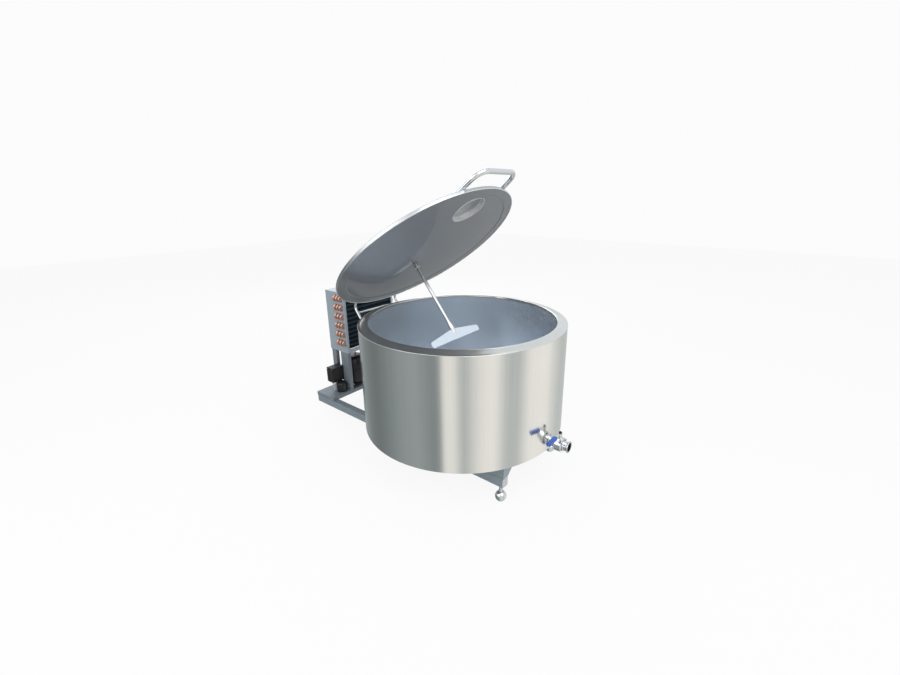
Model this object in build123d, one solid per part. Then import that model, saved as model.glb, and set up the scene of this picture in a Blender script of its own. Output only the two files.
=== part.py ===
"""Open-topped milk cooling tank on a levelled frame, with its condensing unit.

Millimetres.  Z is up and the floor is Z = 0.  +Y points from the outlet valve at the front
to the lid hinge and the condensing unit at the back.  The lid is built shut and turned open.
"""
from build123d import *
from math import atan2, cos, degrees, pi, radians, sin, sqrt
import os

# Clearances
run_gap = 0.3            # between pieces that move past each other
shaft_fit = 0.08         # radial clearance of a pin or shaft in its bore

# Levelling feet and frame
foot_height = 92.0       # floor to the underside of the beams
foot_radius = 30.0
foot_sole = 20.0         # radius of the flat under the ball
foot_neck = 12.0
stem_radius = 8.0
stem_reach = 42.0        # stem inside the beam when wound in
foot_travel = 25.0
socket_flats = 26.0
socket_height = 14.0
beam_width = 44.0
beam_depth = 50.0
beam_wall = 3.0
beam_inset = 105.0       # front ends inside the shell's front
end_cap = 4.0
foot_inset = 27.0        # foot centre from the front end of a beam
foot_rear_inset = 132.0  # rear foot inside the shell's back
cross_depth = 40.0
cross_at = (-360.0, 360.0)
saddle_height = 83.0     # beam top to tank bottom
saddle_plate = 4.0
saddle_inset = 3.0       # side plate in from the beam's outer face
saddle_length = 120.0
saddle_reach = 140.0     # inward reach of the end plate along the tank bottom

# Tank
shell_radius = 600.0
shell_height = 624.0
sheet = 2.0
rim_slope = 50.0         # shell's face to the crest of the rolled rim
crest_rise = 13.0        # rim above the shell's top seam
rim_half = 7.0           # half width of the flat crest
rim_seat = 12.0          # rim sheet on top of the shell
foam_thick = 53.0        # between the shell and the milk vessel
rim_tuck = 16.0          # rim sheet down inside the vessel line
floor_front = 11.0       # vessel floor above the tank bottom, at the outlet
floor_fall = 26.0        # rise of the vessel floor from front to back
pan_border = 160.0       # flat border of the bottom pan
pan_drop = 28.0
pan_slope = 40.0
evaporator_border = 63.0 # vessel wall to the plate's edge
evaporator_depth = 6.0
notch_gap = 4.0          # foam held clear of the outlet pipe

# Outlet and butterfly valve
outlet_radius = 26.0
pipe_wall = 2.0
ferrule_wall = 1.5
seat_bore = 25.5         # passage through the valve's rubber seat
outlet_above_bottom = 39.0
valve_stand = 55.0       # valve centre ahead of the shell
valve_length = 44.0
valve_radius = 39.0
seat_radius = 30.0
disc_thickness = 5.0
valve_bolt_radius = 3.0
bolt_circle = 33.5
ferrule_face = 110.0     # ferrule face ahead of the shell
ferrule_radius = 32.0
ferrule_rim = 6.4
spindle_radius = 5.0
lever_height = 66.0      # lever above the pipe axis
lever_reach = 132.0
lever_width = 14.0
lever_thick = 4.0
grip_length = 72.0
grip_width = 26.0
grip_thick = 18.0

# Lid
lid_overhang = 27.0      # past the crest of the rim
lid_thick = 17.0         # rim of the lid
lid_crown = 6.0          # extra height at the middle
lid_flat = 220.0         # radius of the flat middle
lid_edge_flat = 177.0    # width of the flat border
lid_lip = 3.0            # lip below the rim of the tank
lid_step_in = 50.0       # lid's edge to the step of its lining
lid_step_run = 8.0
lid_step = 5.0
lid_open = 38.3          # degrees, as it stands open
hinge_stand = 42.0       # hinge axis behind the shell
hinge_drop = 199.0       # hinge axis below the rim
arm_x = 178.0
arm_radius = 8.0
arm_stand = 33.0         # upright part of the arm behind the shell
arm_run = 147.0          # arm on the lid, in from its edge
cross_bar_drop = 33.0
cross_bar_radius = 5.0
pin_radius = 7.0
eye_radius = 15.0
eye_width = 17.0
lug_width = 6.0
lug_depth = 56.0
handle_radius = 14.0
handle_half = 165.0
handle_spread = 20.0
handle_stand = 87.0      # bar ahead of the lid's edge
handle_run = 147.0       # legs on the lid, in from its edge
handle_bend = 72.0
hatch_inset = 183.0      # hatch centre in from the lid's edge
hatch_radius = 100.0
collar_height = 16.0
hatch_lap = 10.0
hatch_skirt = 8.0
hatch_crown = 4.0
hatch_hinge_gap = 16.0
hatch_pin = 3.0
hatch_ear = 8.0          # half width of an ear
hatch_ear_x = 17.0
ear_thick = 6.0
ear_plate = 2.6          # foot plate of the ears
ear_rise = 0.5           # its underside above the lid's crown
knob_radius = 9.0

# Agitator
shaft_back = 133.0
shaft_radius = 10.0
shaft_seat = 48.0        # shaft inside the gearbox
shaft_tail = 30.0        # shaft inside the blade
apex_drop = 465.0        # top of the blade below the lid plane
blade_height = 66.0
blade_end = 36.0
blade_length = 440.0
blade_thick = 4.0
hub_radius = 17.0
hub_height = 46.0
coupling_radius = 15.0
coupling_height = 22.0
gearbox_side = 104.0
gearbox_height = 92.0
gearbox_flange = 8.0
motor_radius = 52.0
motor_length = 180.0
motor_ribs = 20

# Condensing unit
pan_stand = 330.0        # base pan behind the shell
pan_deep = 190.0
pan_half = 306.0
pan_margin = 2.0         # base pan past the beams' outer faces
pan_flange = 25.0
unit_left = -147.0       # left side of the coil unit
unit_margin = 4.0        # coil unit in from the base pan's right side
unit_ahead = 5.0         # coil ahead of the base pan
unit_deep = 205.0
coil_depth = 112.0
coil_bottom = 487.0
unit_top = 899.0
rail_height = 30.0
post_front_width = 82.0
post_rear_width = 46.0
post_fold = 26.0
plate = 2.0
tube_radius = 7.0
tube_rows = 12
tube_columns = 3
tube_stub = 3.0          # tube past the end plate, ahead of its bend
coil_side = 10.0         # outer tubes in from the faces of the coil
coil_end = 10.0          # and from its top and bottom
fin_slot = 5.0
fin_pitch = 13.0
fan_radius = 165.0
fan_blades = 5
fan_hub = 38.0
fan_deep = 26.0          # length of the hub
blade_root = 26.0        # half width of a blade at the hub
blade_lead = 52.0        # tip, ahead of the blade's middle line
blade_trail = 30.0
blade_plate = 2.4
guard_wire = 3.0
fan_motor_radius = 46.0
fan_motor_length = 44.0
compressor_x = -30.0
compressor_in = 95.0     # centre behind the pan's front edge
compressor_radius = 84.0
compressor_height = 205.0
mount_height = 20.0
mount_radius = 13.0
mount_spread = 62.0
receiver_x = -186.0
receiver_in = 55.0
receiver_radius = 36.0
receiver_height = 70.0
box_width = 66.0
box_reach = 96.0
box_bottom = 242.0
box_height = 108.0
box_in = 70.0
box_wall = 3.0
cover_thick = 8.0
gland_radius = 5.8
gland_length = 15.0
gland_first = 16.0
gland_pitch = 12.0
pipe_radius = 5.0
line_aside = 18.0        # pipe runs beside the compressor's centre line
line_run = 110.0         # level pipe behind the hinge axis
line_z = 300.0           # both lines at the tank wall
feed_x = 110.0           # liquid line at the tank wall
line_pitch = 15.0        # between the two pipes on the base pan
header_out = 20.0        # coil headers beyond the end plate
cable_radius = 3.5

# Radii and places behind or ahead of the tank axis that follow
crest_radius = shell_radius - rim_slope
vessel_radius = shell_radius - foam_thick - 2 * sheet
pan_flat = shell_radius - pan_border
evaporator_radius = vessel_radius - evaporator_border
lid_radius = crest_radius + lid_overhang
lid_border = lid_radius - lid_edge_flat
lid_step_radius = lid_radius - lid_step_in
hinge_back = shell_radius + hinge_stand
arm_back = shell_radius + arm_stand
arm_reach = lid_radius - arm_run
handle_out = lid_radius + handle_stand
handle_foot = lid_radius - handle_run
hatch_ahead = lid_radius - hatch_inset
pan_front = shell_radius + pan_stand
beam_front = shell_radius - beam_inset
beam_x = pan_half - pan_margin - beam_width / 2
unit_right = pan_half - unit_margin
beam_rear = pan_front + pan_deep
foot_rear = shell_radius - foot_rear_inset
unit_front = pan_front - unit_ahead
unit_rear = unit_front + unit_deep
compressor_back = pan_front + compressor_in
receiver_back = pan_front + receiver_in
box_back = pan_front + box_in

# Heights and places that follow
beam_top = foot_height + beam_depth
tank_bottom = beam_top + saddle_height
seam_z = tank_bottom + shell_height
crest_z = seam_z + crest_rise
outlet_z = tank_bottom + outlet_above_bottom
tank_y = (shell_radius + ferrule_face - unit_rear) / 2
hinge_y = tank_y + hinge_back
hinge_z = crest_z - hinge_drop
hinge_axis = Axis((0, hinge_y, hinge_z), (1, 0, 0))
pan_z = beam_top + pan_flange


def bent_outline(points, thick, bend):
    """Face of a folded sheet: points run along one side, the other side is to the left."""
    count = len(points)
    dirs = []
    for a, b in zip(points, points[1:]):
        run = sqrt((b[0] - a[0]) ** 2 + (b[1] - a[1]) ** 2)
        dirs.append(((b[0] - a[0]) / run, (b[1] - a[1]) / run))
    other = []
    near_radii = []
    far_radii = []
    for i, (x, y) in enumerate(points):
        before = dirs[max(i - 1, 0)]
        after = dirs[min(i, count - 2)]
        nx = -before[1] - after[1]
        ny = before[0] + after[0]
        scale = thick / (1 + before[0] * after[0] + before[1] * after[1])
        other.append((x + nx * scale, y + ny * scale))
        if 0 < i < count - 1:
            left_turn = before[0] * after[1] - before[1] * after[0] > 0
            near_radii.append(bend + thick if left_turn else bend)
            far_radii.append(bend if left_turn else bend + thick)
    if near_radii:
        near = FilletPolyline(*points, radius=near_radii)
        far = FilletPolyline(*other, radius=far_radii)
    else:
        near = Line(*points)
        far = Line(*other)
    return make_face([near, Line(points[-1], other[-1]), far, Line(other[0], points[0])])


def turned(face):
    """Face in (radius, height) turned about the tank axis."""
    return Pos(0, tank_y, 0) * revolve(Plane.XZ * face, Axis.Z)


def ring(outer, inner, z0, z1):
    body = Cylinder(outer, z1 - z0, align=(Align.CENTER, Align.CENTER, Align.MIN))
    if inner > 0:
        body -= Cylinder(inner, z1 - z0, align=(Align.CENTER, Align.CENTER, Align.MIN))
    return Pos(0, 0, z0) * body


def disc_at(x, y, z0, z1, outer, inner=0.0):
    return Pos(x, y, 0) * ring(outer, inner, z0, z1)


def block(x0, x1, y0, y1, z0, z1):
    return Pos((x0 + x1) / 2, (y0 + y1) / 2, (z0 + z1) / 2) * Box(x1 - x0, y1 - y0, z1 - z0)


def rod(start, end, radius, inner=0.0):
    """Straight bar or tube between two points."""
    line = Vector(*end) - Vector(*start)
    plane = Plane(origin=start, z_dir=line)
    body = Circle(radius)
    if inner > 0:
        body -= Circle(inner)
    return extrude(plane * body, line.length)


def tube_along(points, radii, radius):
    path = FilletPolyline(*points, radius=radii)
    return sweep(Plane(origin=path @ 0, z_dir=path % 0) * Circle(radius), path)


def opened(shape):
    return shape.rotate(hinge_axis, -lid_open)


def save(name, shape):
    solids = shape.solids()
    result = solids[0] if len(solids) == 1 else Compound(children=list(solids))
    export_step(result, "parts/%s.step" % name)


# Levelling feet: a ball on a threaded stem that screws into the beam
def foot():
    centre = sqrt(foot_radius ** 2 - foot_sole ** 2)
    top = centre + sqrt(foot_radius ** 2 - foot_neck ** 2)
    outline = make_face([
        Line((0, 0), (foot_sole, 0)),
        ThreePointArc((foot_sole, 0), (foot_radius, centre), (foot_neck, top)),
        Line((foot_neck, top), (foot_neck, top + 6)),
        Line((foot_neck, top + 6), (stem_radius, top + 6)),
        Line((stem_radius, top + 6), (stem_radius, foot_height + stem_reach)),
        Line((stem_radius, foot_height + stem_reach), (0, foot_height + stem_reach)),
        Line((0, foot_height + stem_reach), (0, 0)),
    ])
    return revolve(Plane.XZ * outline, Axis.Z)


foot_places = {
    "foot_front_left": (-beam_x, tank_y - beam_front + foot_inset),
    "foot_front_right": (beam_x, tank_y - beam_front + foot_inset),
    "foot_rear_left": (-beam_x, tank_y + foot_rear),
    "foot_rear_right": (beam_x, tank_y + foot_rear),
}


# Frame: two box beams, cross tubes between them, saddles that carry the tank
def beam(x):
    y0 = tank_y - beam_front + end_cap
    y1 = tank_y + beam_rear - end_cap
    z0 = foot_height
    body = block(x - beam_width / 2, x + beam_width / 2, y0, y1, z0, beam_top)
    body -= block(x - beam_width / 2 + beam_wall, x + beam_width / 2 - beam_wall, y0, y1,
                  z0 + beam_wall, beam_top - beam_wall)
    for fx, fy in foot_places.values():
        if abs(fx - x) < 1:
            body -= disc_at(fx, fy, z0, z0 + beam_wall, stem_radius + 1)
    return body


def beam_caps():
    caps = []
    for side in (-1, 1):
        x = side * beam_x
        for y0 in (tank_y - beam_front, tank_y + beam_rear - end_cap):
            cap = block(x - beam_width / 2, x + beam_width / 2, y0, y0 + end_cap,
                        foot_height, beam_top)
            caps.append(fillet(cap.edges().filter_by(Axis.Y), 6))
    return Compound(children=caps)


def foot_sockets():
    nuts = []
    for x, y in foot_places.values():
        nut = extrude(RegularPolygon(socket_flats / 2, 6, major_radius=False), socket_height)
        nut -= Cylinder(stem_radius + shaft_fit, 3 * socket_height)
        nuts.append(Pos(x, y, foot_height + beam_wall) * nut)
    return Compound(children=nuts)


def cross_tubes():
    inner = beam_x - beam_width / 2
    tubes = []
    for at in cross_at:
        y = tank_y + at
        tube = block(-inner, inner, y - beam_width / 2, y + beam_width / 2,
                     foot_height, foot_height + cross_depth)
        tube -= block(-inner, inner, y - beam_width / 2 + beam_wall, y + beam_width / 2 - beam_wall,
                      foot_height + beam_wall, foot_height + cross_depth - beam_wall)
        tubes.append(tube)
    return Compound(children=tubes)


def saddle():
    """Front left saddle: a side plate folded into a raked end plate."""
    outer = -beam_x - beam_width / 2 + saddle_inset
    front = tank_y - beam_front
    side = block(outer, outer + saddle_plate, front, front + saddle_length, beam_top, tank_bottom)
    face = make_face(Polyline(
        (outer, beam_top), (outer + beam_width - saddle_inset, beam_top),
        (outer + saddle_reach, tank_bottom), (outer, tank_bottom), close=True))
    end = extrude(Plane.XZ.offset(-front) * face, -saddle_plate)
    foot_tab = block(outer, outer + beam_width * 0.8, front, front + saddle_length * 0.5,
                     beam_top, beam_top + saddle_plate)
    top_tab = block(outer, outer + beam_width, front, front + saddle_length,
                    tank_bottom - saddle_plate, tank_bottom)
    return side + end + foot_tab + top_tab


def saddles():
    first = saddle()
    left_pair = [first, mirror(first, Plane.XZ.offset(-tank_y))]
    right_pair = [mirror(piece, Plane.YZ) for piece in left_pair]
    return Compound(children=left_pair + right_pair)


# Tank shells
def outer_shell():
    body = turned(make_face(Polyline(
        (shell_radius - sheet, tank_bottom + sheet), (shell_radius, tank_bottom + sheet),
        (shell_radius, seam_z), (shell_radius - sheet, seam_z), close=True)))
    hole = rod((0, tank_y - shell_radius - 20, outlet_z), (0, tank_y - shell_radius + 60, outlet_z),
               outlet_radius + run_gap)
    return body - hole


rim_under = [
    (vessel_radius + sheet, crest_z - sheet),
    (crest_radius + rim_half, crest_z - sheet),
    (shell_radius - rim_seat, seam_z),
]


def top_rim():
    """Sheet from the shell's edge up over the crest and down to the vessel wall."""
    points = [(vessel_radius + sheet, crest_z - rim_tuck)] + rim_under + [(shell_radius, seam_z)]
    return turned(bent_outline(points, sheet, 2.0))


def vessel_floor_cut(raise_by):
    """Everything below the sloping floor plane."""
    front_z = tank_bottom + floor_front + raise_by
    slope = degrees(atan2(floor_fall, 2 * vessel_radius))
    big = Box(4 * shell_radius, 4 * shell_radius, shell_radius,
              align=(Align.CENTER, Align.CENTER, Align.MAX))
    return Pos(0, tank_y - vessel_radius, front_z) * Rot(slope, 0, 0) * big


def inner_vessel():
    top = crest_z - rim_tuck
    outer = Pos(0, tank_y, 0) * ring(vessel_radius + sheet, 0, tank_bottom, top)
    outer -= vessel_floor_cut(-sheet)
    inner = Pos(0, tank_y, 0) * ring(vessel_radius, 0, tank_bottom, top + 1)
    inner -= vessel_floor_cut(0)
    hole = rod((0, tank_y - vessel_radius - 40, outlet_z), (0, tank_y - vessel_radius + 30, outlet_z),
               outlet_radius)
    return outer - inner - hole


def evaporator():
    """Pillow plate under the vessel floor with its ring of dimples."""
    body = Pos(0, tank_y, 0) * ring(evaporator_radius, 0, 0, seam_z)
    body -= vessel_floor_cut(-sheet - evaporator_depth)
    upper = Pos(0, tank_y, 0) * ring(evaporator_radius + 10, 0, 0, seam_z)
    upper -= vessel_floor_cut(-sheet)
    return body - upper


def insulation_floor():
    body = Pos(0, tank_y, 0) * ring(vessel_radius + sheet, 0, tank_bottom + sheet, crest_z - 100)
    upper = Pos(0, tank_y, 0) * ring(vessel_radius + 40, 0, 0, seam_z)
    upper -= vessel_floor_cut(-sheet)
    well = turned(make_face(Polyline(
        (0, tank_bottom - pan_drop + sheet), (pan_flat - pan_slope, tank_bottom - pan_drop + sheet),
        (pan_flat, tank_bottom + sheet), (0, tank_bottom + sheet), close=True)))
    return (body - upper) + well - bottom_pan() - evaporator()


def insulation_wall():
    body = turned(make_face(Polyline(
        (vessel_radius + sheet, tank_bottom + sheet), (shell_radius - sheet, tank_bottom + sheet),
        (shell_radius - sheet, seam_z - 0.5), (shell_radius - rim_seat, seam_z - 0.5),
        (crest_radius + rim_half, crest_z - 3), (vessel_radius + 5, crest_z - 3),
        (vessel_radius + sheet, crest_z - 6), close=True)))
    reach = outlet_radius + notch_gap
    notch = block(-reach, reach, tank_y - shell_radius - 20, tank_y - vessel_radius + 60,
                  tank_bottom, outlet_z + reach)
    return body - notch


def bottom_pan():
    outline = bent_outline([
        (0.0, tank_bottom - pan_drop), (pan_flat - pan_slope, tank_bottom - pan_drop),
        (pan_flat, tank_bottom), (shell_radius, tank_bottom),
    ], sheet, 3.0)
    return turned(outline)


# Outlet pipe and butterfly valve
front_y = tank_y - shell_radius
valve_y = front_y - valve_stand
valve_back = valve_y + valve_length / 2
valve_front = valve_y - valve_length / 2


def along(face_radius, y0, y1, inner=0.0):
    return rod((0, y0, outlet_z), (0, y1, outlet_z), face_radius, inner)


def outlet_pipe():
    bore = outlet_radius - pipe_wall
    body = along(outlet_radius, valve_back, tank_y - vessel_radius + 8)
    body += along(outlet_radius + 12, front_y - 4, front_y - 1)
    body -= along(bore, valve_back - 1, tank_y - vessel_radius + 30)
    inside = Pos(0, tank_y, 0) * ring(vessel_radius, 0, outlet_z - 80, outlet_z + 80)
    return body - inside


def valve_body():
    """Two flanged halves turned as one, with a waist and a spindle boss."""
    half = valve_length / 2
    waist = valve_radius - 8
    outline = make_face(Polyline(
        (seat_radius, -half), (valve_radius - 6, -half), (valve_radius, -half + 5),
        (valve_radius, -6), (valve_radius, 6), (valve_radius, half - 5),
        (valve_radius - 6, half), (seat_radius, half), close=True))
    body = revolve(Plane.XZ * outline, Axis.Z)
    body = Pos(0, valve_y, outlet_z) * Rot(90, 0, 0) * body
    boss = rod((0, valve_y, outlet_z + waist), (0, valve_y, outlet_z + valve_radius + 12),
               spindle_radius + 6)
    body += boss
    body -= rod((0, valve_y, outlet_z - seat_radius - 6), (0, valve_y, outlet_z + 90),
                spindle_radius + shaft_fit)
    body -= along(seat_radius, valve_front - 1, valve_back + 1)
    for i in range(4):
        a = radians(45 + 90 * i)
        x = bolt_circle * cos(a)
        z = outlet_z + bolt_circle * sin(a)
        body -= rod((x, valve_front - 1, z), (x, valve_back + 1, z), valve_bolt_radius)
    return body


def valve_seat():
    body = along(seat_radius, valve_front, valve_back, seat_bore)
    body -= rod((0, valve_y, outlet_z - seat_radius - 6), (0, valve_y, outlet_z + 60),
                spindle_radius + run_gap)
    return body


def valve_bolts():
    bolts = []
    for i in range(4):
        a = radians(45 + 90 * i)
        x = bolt_circle * cos(a)
        z = outlet_z + bolt_circle * sin(a)
        bolt = rod((x, valve_front - 5, z), (x, valve_back, z), valve_bolt_radius)
        head = Pos(x, valve_front, z) * Rot(90, 0, 0) * extrude(RegularPolygon(5.5, 6), 5)
        bolts.append(bolt + head)
    return Compound(children=bolts)


def valve_disc():
    reach = seat_bore - run_gap
    disc = along(reach, valve_y - disc_thickness / 2, valve_y + disc_thickness / 2)
    spindle = rod((0, valve_y, outlet_z - seat_radius - 4), (0, valve_y, outlet_z + lever_height + 8),
                  spindle_radius)
    return disc + spindle


def valve_lever():
    """Flat lever that lies across the pipe, shut, with its eye on the spindle."""
    z0 = outlet_z + lever_height
    bar = block(-lever_reach, 0, valve_y - lever_width / 2, valve_y + lever_width / 2,
                z0 - lever_thick / 2, z0 + lever_thick / 2)
    eye = disc_at(0, valve_y, z0 - lever_thick / 2 - 6, z0 + lever_thick / 2, lever_width * 0.8)
    eye += bar
    return eye - disc_at(0, valve_y, z0 - 30, z0 + 30, spindle_radius)


def valve_grip():
    z0 = outlet_z + lever_height
    body = block(-lever_reach - 6, -lever_reach + grip_length, valve_y - grip_width / 2,
                 valve_y + grip_width / 2, z0 - grip_thick / 2, z0 + grip_thick / 2)
    body = fillet(body.edges().filter_by(Axis.X), grip_thick * 0.35)
    return body - block(-lever_reach, 0, valve_y - lever_width / 2, valve_y + lever_width / 2,
                        z0 - lever_thick / 2, z0 + lever_thick / 2)


def outlet_ferrule():
    """Clamp ferrule: a short pipe flaring to a bevelled rim."""
    face = front_y - ferrule_face
    bore = outlet_radius - ferrule_wall
    length = valve_front - face
    outline = make_face(Polyline(
        (bore, 0), (bore, length), (outlet_radius + 1.5, length), (outlet_radius + 1.5, length - 5),
        (outlet_radius, length - 7), (outlet_radius, ferrule_rim + 4),
        (ferrule_radius, ferrule_rim / 2), (ferrule_radius, 0), close=True))
    return Pos(0, face, outlet_z) * Rot(-90, 0, 0) * revolve(Plane.XZ * outline, Axis.Z)


# Hinge lugs on the tank wall, with their pins
def hinge_lugs():
    lugs = []
    for side in (-1, 1):
        wall_y = tank_y + sqrt(shell_radius ** 2 - arm_x ** 2)
        for shift in (-1, 1):
            x = side * arm_x + shift * (eye_width / 2 + run_gap + lug_width / 2)
            lug = block(x - lug_width / 2, x + lug_width / 2, wall_y - 30, hinge_y,
                        hinge_z - lug_depth / 2, hinge_z + lug_depth / 2)
            nose = rod((x - lug_width / 2, hinge_y, hinge_z), (x + lug_width / 2, hinge_y, hinge_z),
                       lug_depth / 2)
            lugs.append(lug + nose)
    body = Pos(0, tank_y, 0) * ring(shell_radius, 0, 0, seam_z + 100)
    pins = rod((-2 * arm_x, hinge_y, hinge_z), (2 * arm_x, hinge_y, hinge_z), pin_radius)
    return Compound(children=[lug - body - pins for lug in lugs])


def hinge_pins():
    half = eye_width / 2 + run_gap + lug_width + 3
    pins = []
    for side in (-1, 1):
        x = side * arm_x
        pin = rod((x - half, hinge_y, hinge_z), (x + half, hinge_y, hinge_z), pin_radius)
        for end in (-1, 1):
            a = x + end * half
            pin += rod((a, hinge_y, hinge_z), (a + end * 3, hinge_y, hinge_z), pin_radius + 3)
        pins.append(pin)
    return Compound(children=pins)


# Lid, built shut: lid_z is the plane that rests on the rim
lid_z = crest_z + run_gap
lid_top = lid_z + lid_thick
drive_z = lid_top + lid_crown
hatch_y = tank_y - hatch_ahead
shaft_y = tank_y + shaft_back


def lid_shell():
    outline = bent_outline([
        (lid_radius, lid_z - lid_lip), (lid_radius, lid_top),
        (lid_border, lid_top), (lid_flat, lid_top + lid_crown), (0.0, lid_top + lid_crown),
    ], sheet, 3.0)
    body = turned(outline)
    body -= disc_at(0, hatch_y, lid_z - 20, lid_top + 40, hatch_radius + run_gap)
    return body - disc_at(0, shaft_y, lid_z - 20, lid_top + 40, shaft_radius + 4)


def lid_liner():
    edge = lid_radius - sheet - 0.3
    outline = bent_outline([
        (edge, lid_z + sheet), (lid_step_radius, lid_z + sheet),
        (lid_step_radius - lid_step_run, lid_z + sheet + lid_step), (0.0, lid_z + sheet + lid_step),
    ], sheet, 3.0)
    body = turned(outline)
    body -= disc_at(0, hatch_y, lid_z - 20, lid_top + 40, hatch_radius + run_gap)
    return body - disc_at(0, shaft_y, lid_z - 20, lid_top + 40, shaft_radius + 4)


hatch_pin_y = hatch_y + hatch_radius + hatch_lap + hatch_hinge_gap
hatch_pin_z = lid_top + collar_height + 2


def hatch_collar():
    body = disc_at(0, hatch_y, lid_z + sheet, lid_top + collar_height, hatch_radius,
                   hatch_radius - sheet)
    half = hatch_ear_x + ear_thick / 2
    z0 = drive_z + ear_rise
    foot_plate = block(-half, half, hatch_y + hatch_radius - 10, hatch_pin_y + hatch_ear,
                       z0, z0 + ear_plate)
    body += foot_plate - disc_at(0, hatch_y, z0 - 1, z0 + ear_plate + 1, hatch_radius - sheet)
    for side in (-1, 1):
        x0 = side * hatch_ear_x - ear_thick / 2
        body += block(x0, x0 + ear_thick, hatch_pin_y - hatch_ear, hatch_pin_y + hatch_ear,
                      z0, hatch_pin_z)
        body += rod((x0, hatch_pin_y, hatch_pin_z), (x0 + ear_thick, hatch_pin_y, hatch_pin_z),
                    hatch_ear)
    body += rod((-half, hatch_pin_y, hatch_pin_z), (half, hatch_pin_y, hatch_pin_z), hatch_pin)
    return body


def hatch_cover():
    top = lid_top + collar_height + run_gap
    outer = hatch_radius + hatch_lap
    outline = bent_outline([
        (outer, top + sheet - hatch_skirt), (outer, top + sheet),
        (outer - 30, top + sheet), (outer - 40, top + sheet + hatch_crown),
        (0.0, top + sheet + hatch_crown),
    ], sheet, 2.0)
    body = Pos(0, hatch_y, 0) * revolve(Plane.XZ * outline, Axis.Z)
    half = hatch_ear_x - ear_thick / 2 - run_gap
    knuckle = rod((-half, hatch_pin_y, hatch_pin_z), (half, hatch_pin_y, hatch_pin_z), 6.5)
    knuckle += block(-half, half, hatch_y + outer - 1, hatch_pin_y, hatch_pin_z - 2, hatch_pin_z + 2)
    knuckle -= rod((-30, hatch_pin_y, hatch_pin_z), (30, hatch_pin_y, hatch_pin_z),
                   hatch_pin + shaft_fit)
    return body + knuckle


def hatch_knob():
    z0 = lid_top + collar_height + run_gap + sheet + hatch_crown
    outline = make_face(Polyline(
        (0, z0), (5, z0), (5, z0 + 10), (knob_radius * 1.6, z0 + 14),
        (knob_radius * 1.6, z0 + 24), (0, z0 + 26), close=True))
    return Pos(0, hatch_y - 40, 0) * revolve(Plane.XZ * outline, Axis.Z)


def lid_handle():
    """Bent tube that lies on the lid and reaches out past its rim."""
    z = lid_top + handle_radius
    wide = handle_half + handle_spread
    points = [
        (-wide, tank_y - handle_foot, z), (-handle_half, tank_y - handle_out, z),
        (handle_half, tank_y - handle_out, z), (wide, tank_y - handle_foot, z),
    ]
    return tube_along(points, [handle_bend, handle_bend], handle_radius)


def hinge_frame():
    """Two goosenecks over the back of the rim, a cross bar, and an eye on each arm."""
    z = lid_top + arm_radius
    arms = []
    for side in (-1, 1):
        x = side * arm_x
        points = [
            (x, tank_y + arm_reach, z), (x, tank_y + arm_back, z),
            (x, tank_y + arm_back, hinge_z + 60), (x, hinge_y, hinge_z),
        ]
        arm = tube_along(points, [36.0, 40.0], arm_radius)
        arm += rod((x - eye_width / 2, hinge_y, hinge_z), (x + eye_width / 2, hinge_y, hinge_z),
                   eye_radius)
        arm -= rod((x - 20, hinge_y, hinge_z), (x + 20, hinge_y, hinge_z), pin_radius + shaft_fit)
        arms.append(arm)
    z_bar = crest_z - cross_bar_drop
    bar = rod((-arm_x, tank_y + arm_back, z_bar), (arm_x, tank_y + arm_back, z_bar), cross_bar_radius)
    return arms[0] + bar + arms[1]


# Agitator drive on the lid
def gearbox():
    z0 = drive_z
    flange = disc_at(0, shaft_y, z0, z0 + gearbox_flange, gearbox_side * 0.68)
    half = gearbox_side / 2
    box = block(-half, half, shaft_y - half, shaft_y + half, z0 + gearbox_flange,
                z0 + gearbox_height)
    box = fillet(box.edges().filter_by(Axis.Z), 14)
    body = flange + box
    return body - disc_at(0, shaft_y, z0 - 5, z0 + shaft_seat + 2, shaft_radius + shaft_fit)


def gear_motor():
    z0 = drive_z + gearbox_flange + motor_radius
    x0 = gearbox_side / 2
    body = rod((x0, shaft_y, z0), (x0 + 10, shaft_y, z0), motor_radius - 8)
    body += rod((x0 + 10, shaft_y, z0), (x0 + motor_length - 40, shaft_y, z0), motor_radius - 7)
    body += rod((x0 + motor_length - 40, shaft_y, z0), (x0 + motor_length, shaft_y, z0),
                motor_radius - 1)
    for i in range(motor_ribs):
        rib = Pos(x0 + 10 + (motor_length - 50) / 2, 0, motor_radius - 6) * Box(motor_length - 50, 3, 10)
        body += Pos(0, shaft_y, z0) * Rot(360 / motor_ribs * i, 0, 0) * rib
    return body


def agitator_shaft():
    return disc_at(0, shaft_y, lid_z - apex_drop - shaft_tail, drive_z + shaft_seat, shaft_radius)


def shaft_coupling():
    z1 = lid_z - 4
    return disc_at(0, shaft_y, z1 - coupling_height, z1, coupling_radius, shaft_radius)


def agitator_hub():
    z0 = lid_z - apex_drop
    outline = make_face(Polyline(
        (shaft_radius, z0), (hub_radius, z0), (shaft_radius + 3, z0 + hub_height),
        (shaft_radius, z0 + hub_height), close=True))
    return Pos(0, shaft_y, 0) * revolve(Plane.XZ * outline, Axis.Z)


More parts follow.
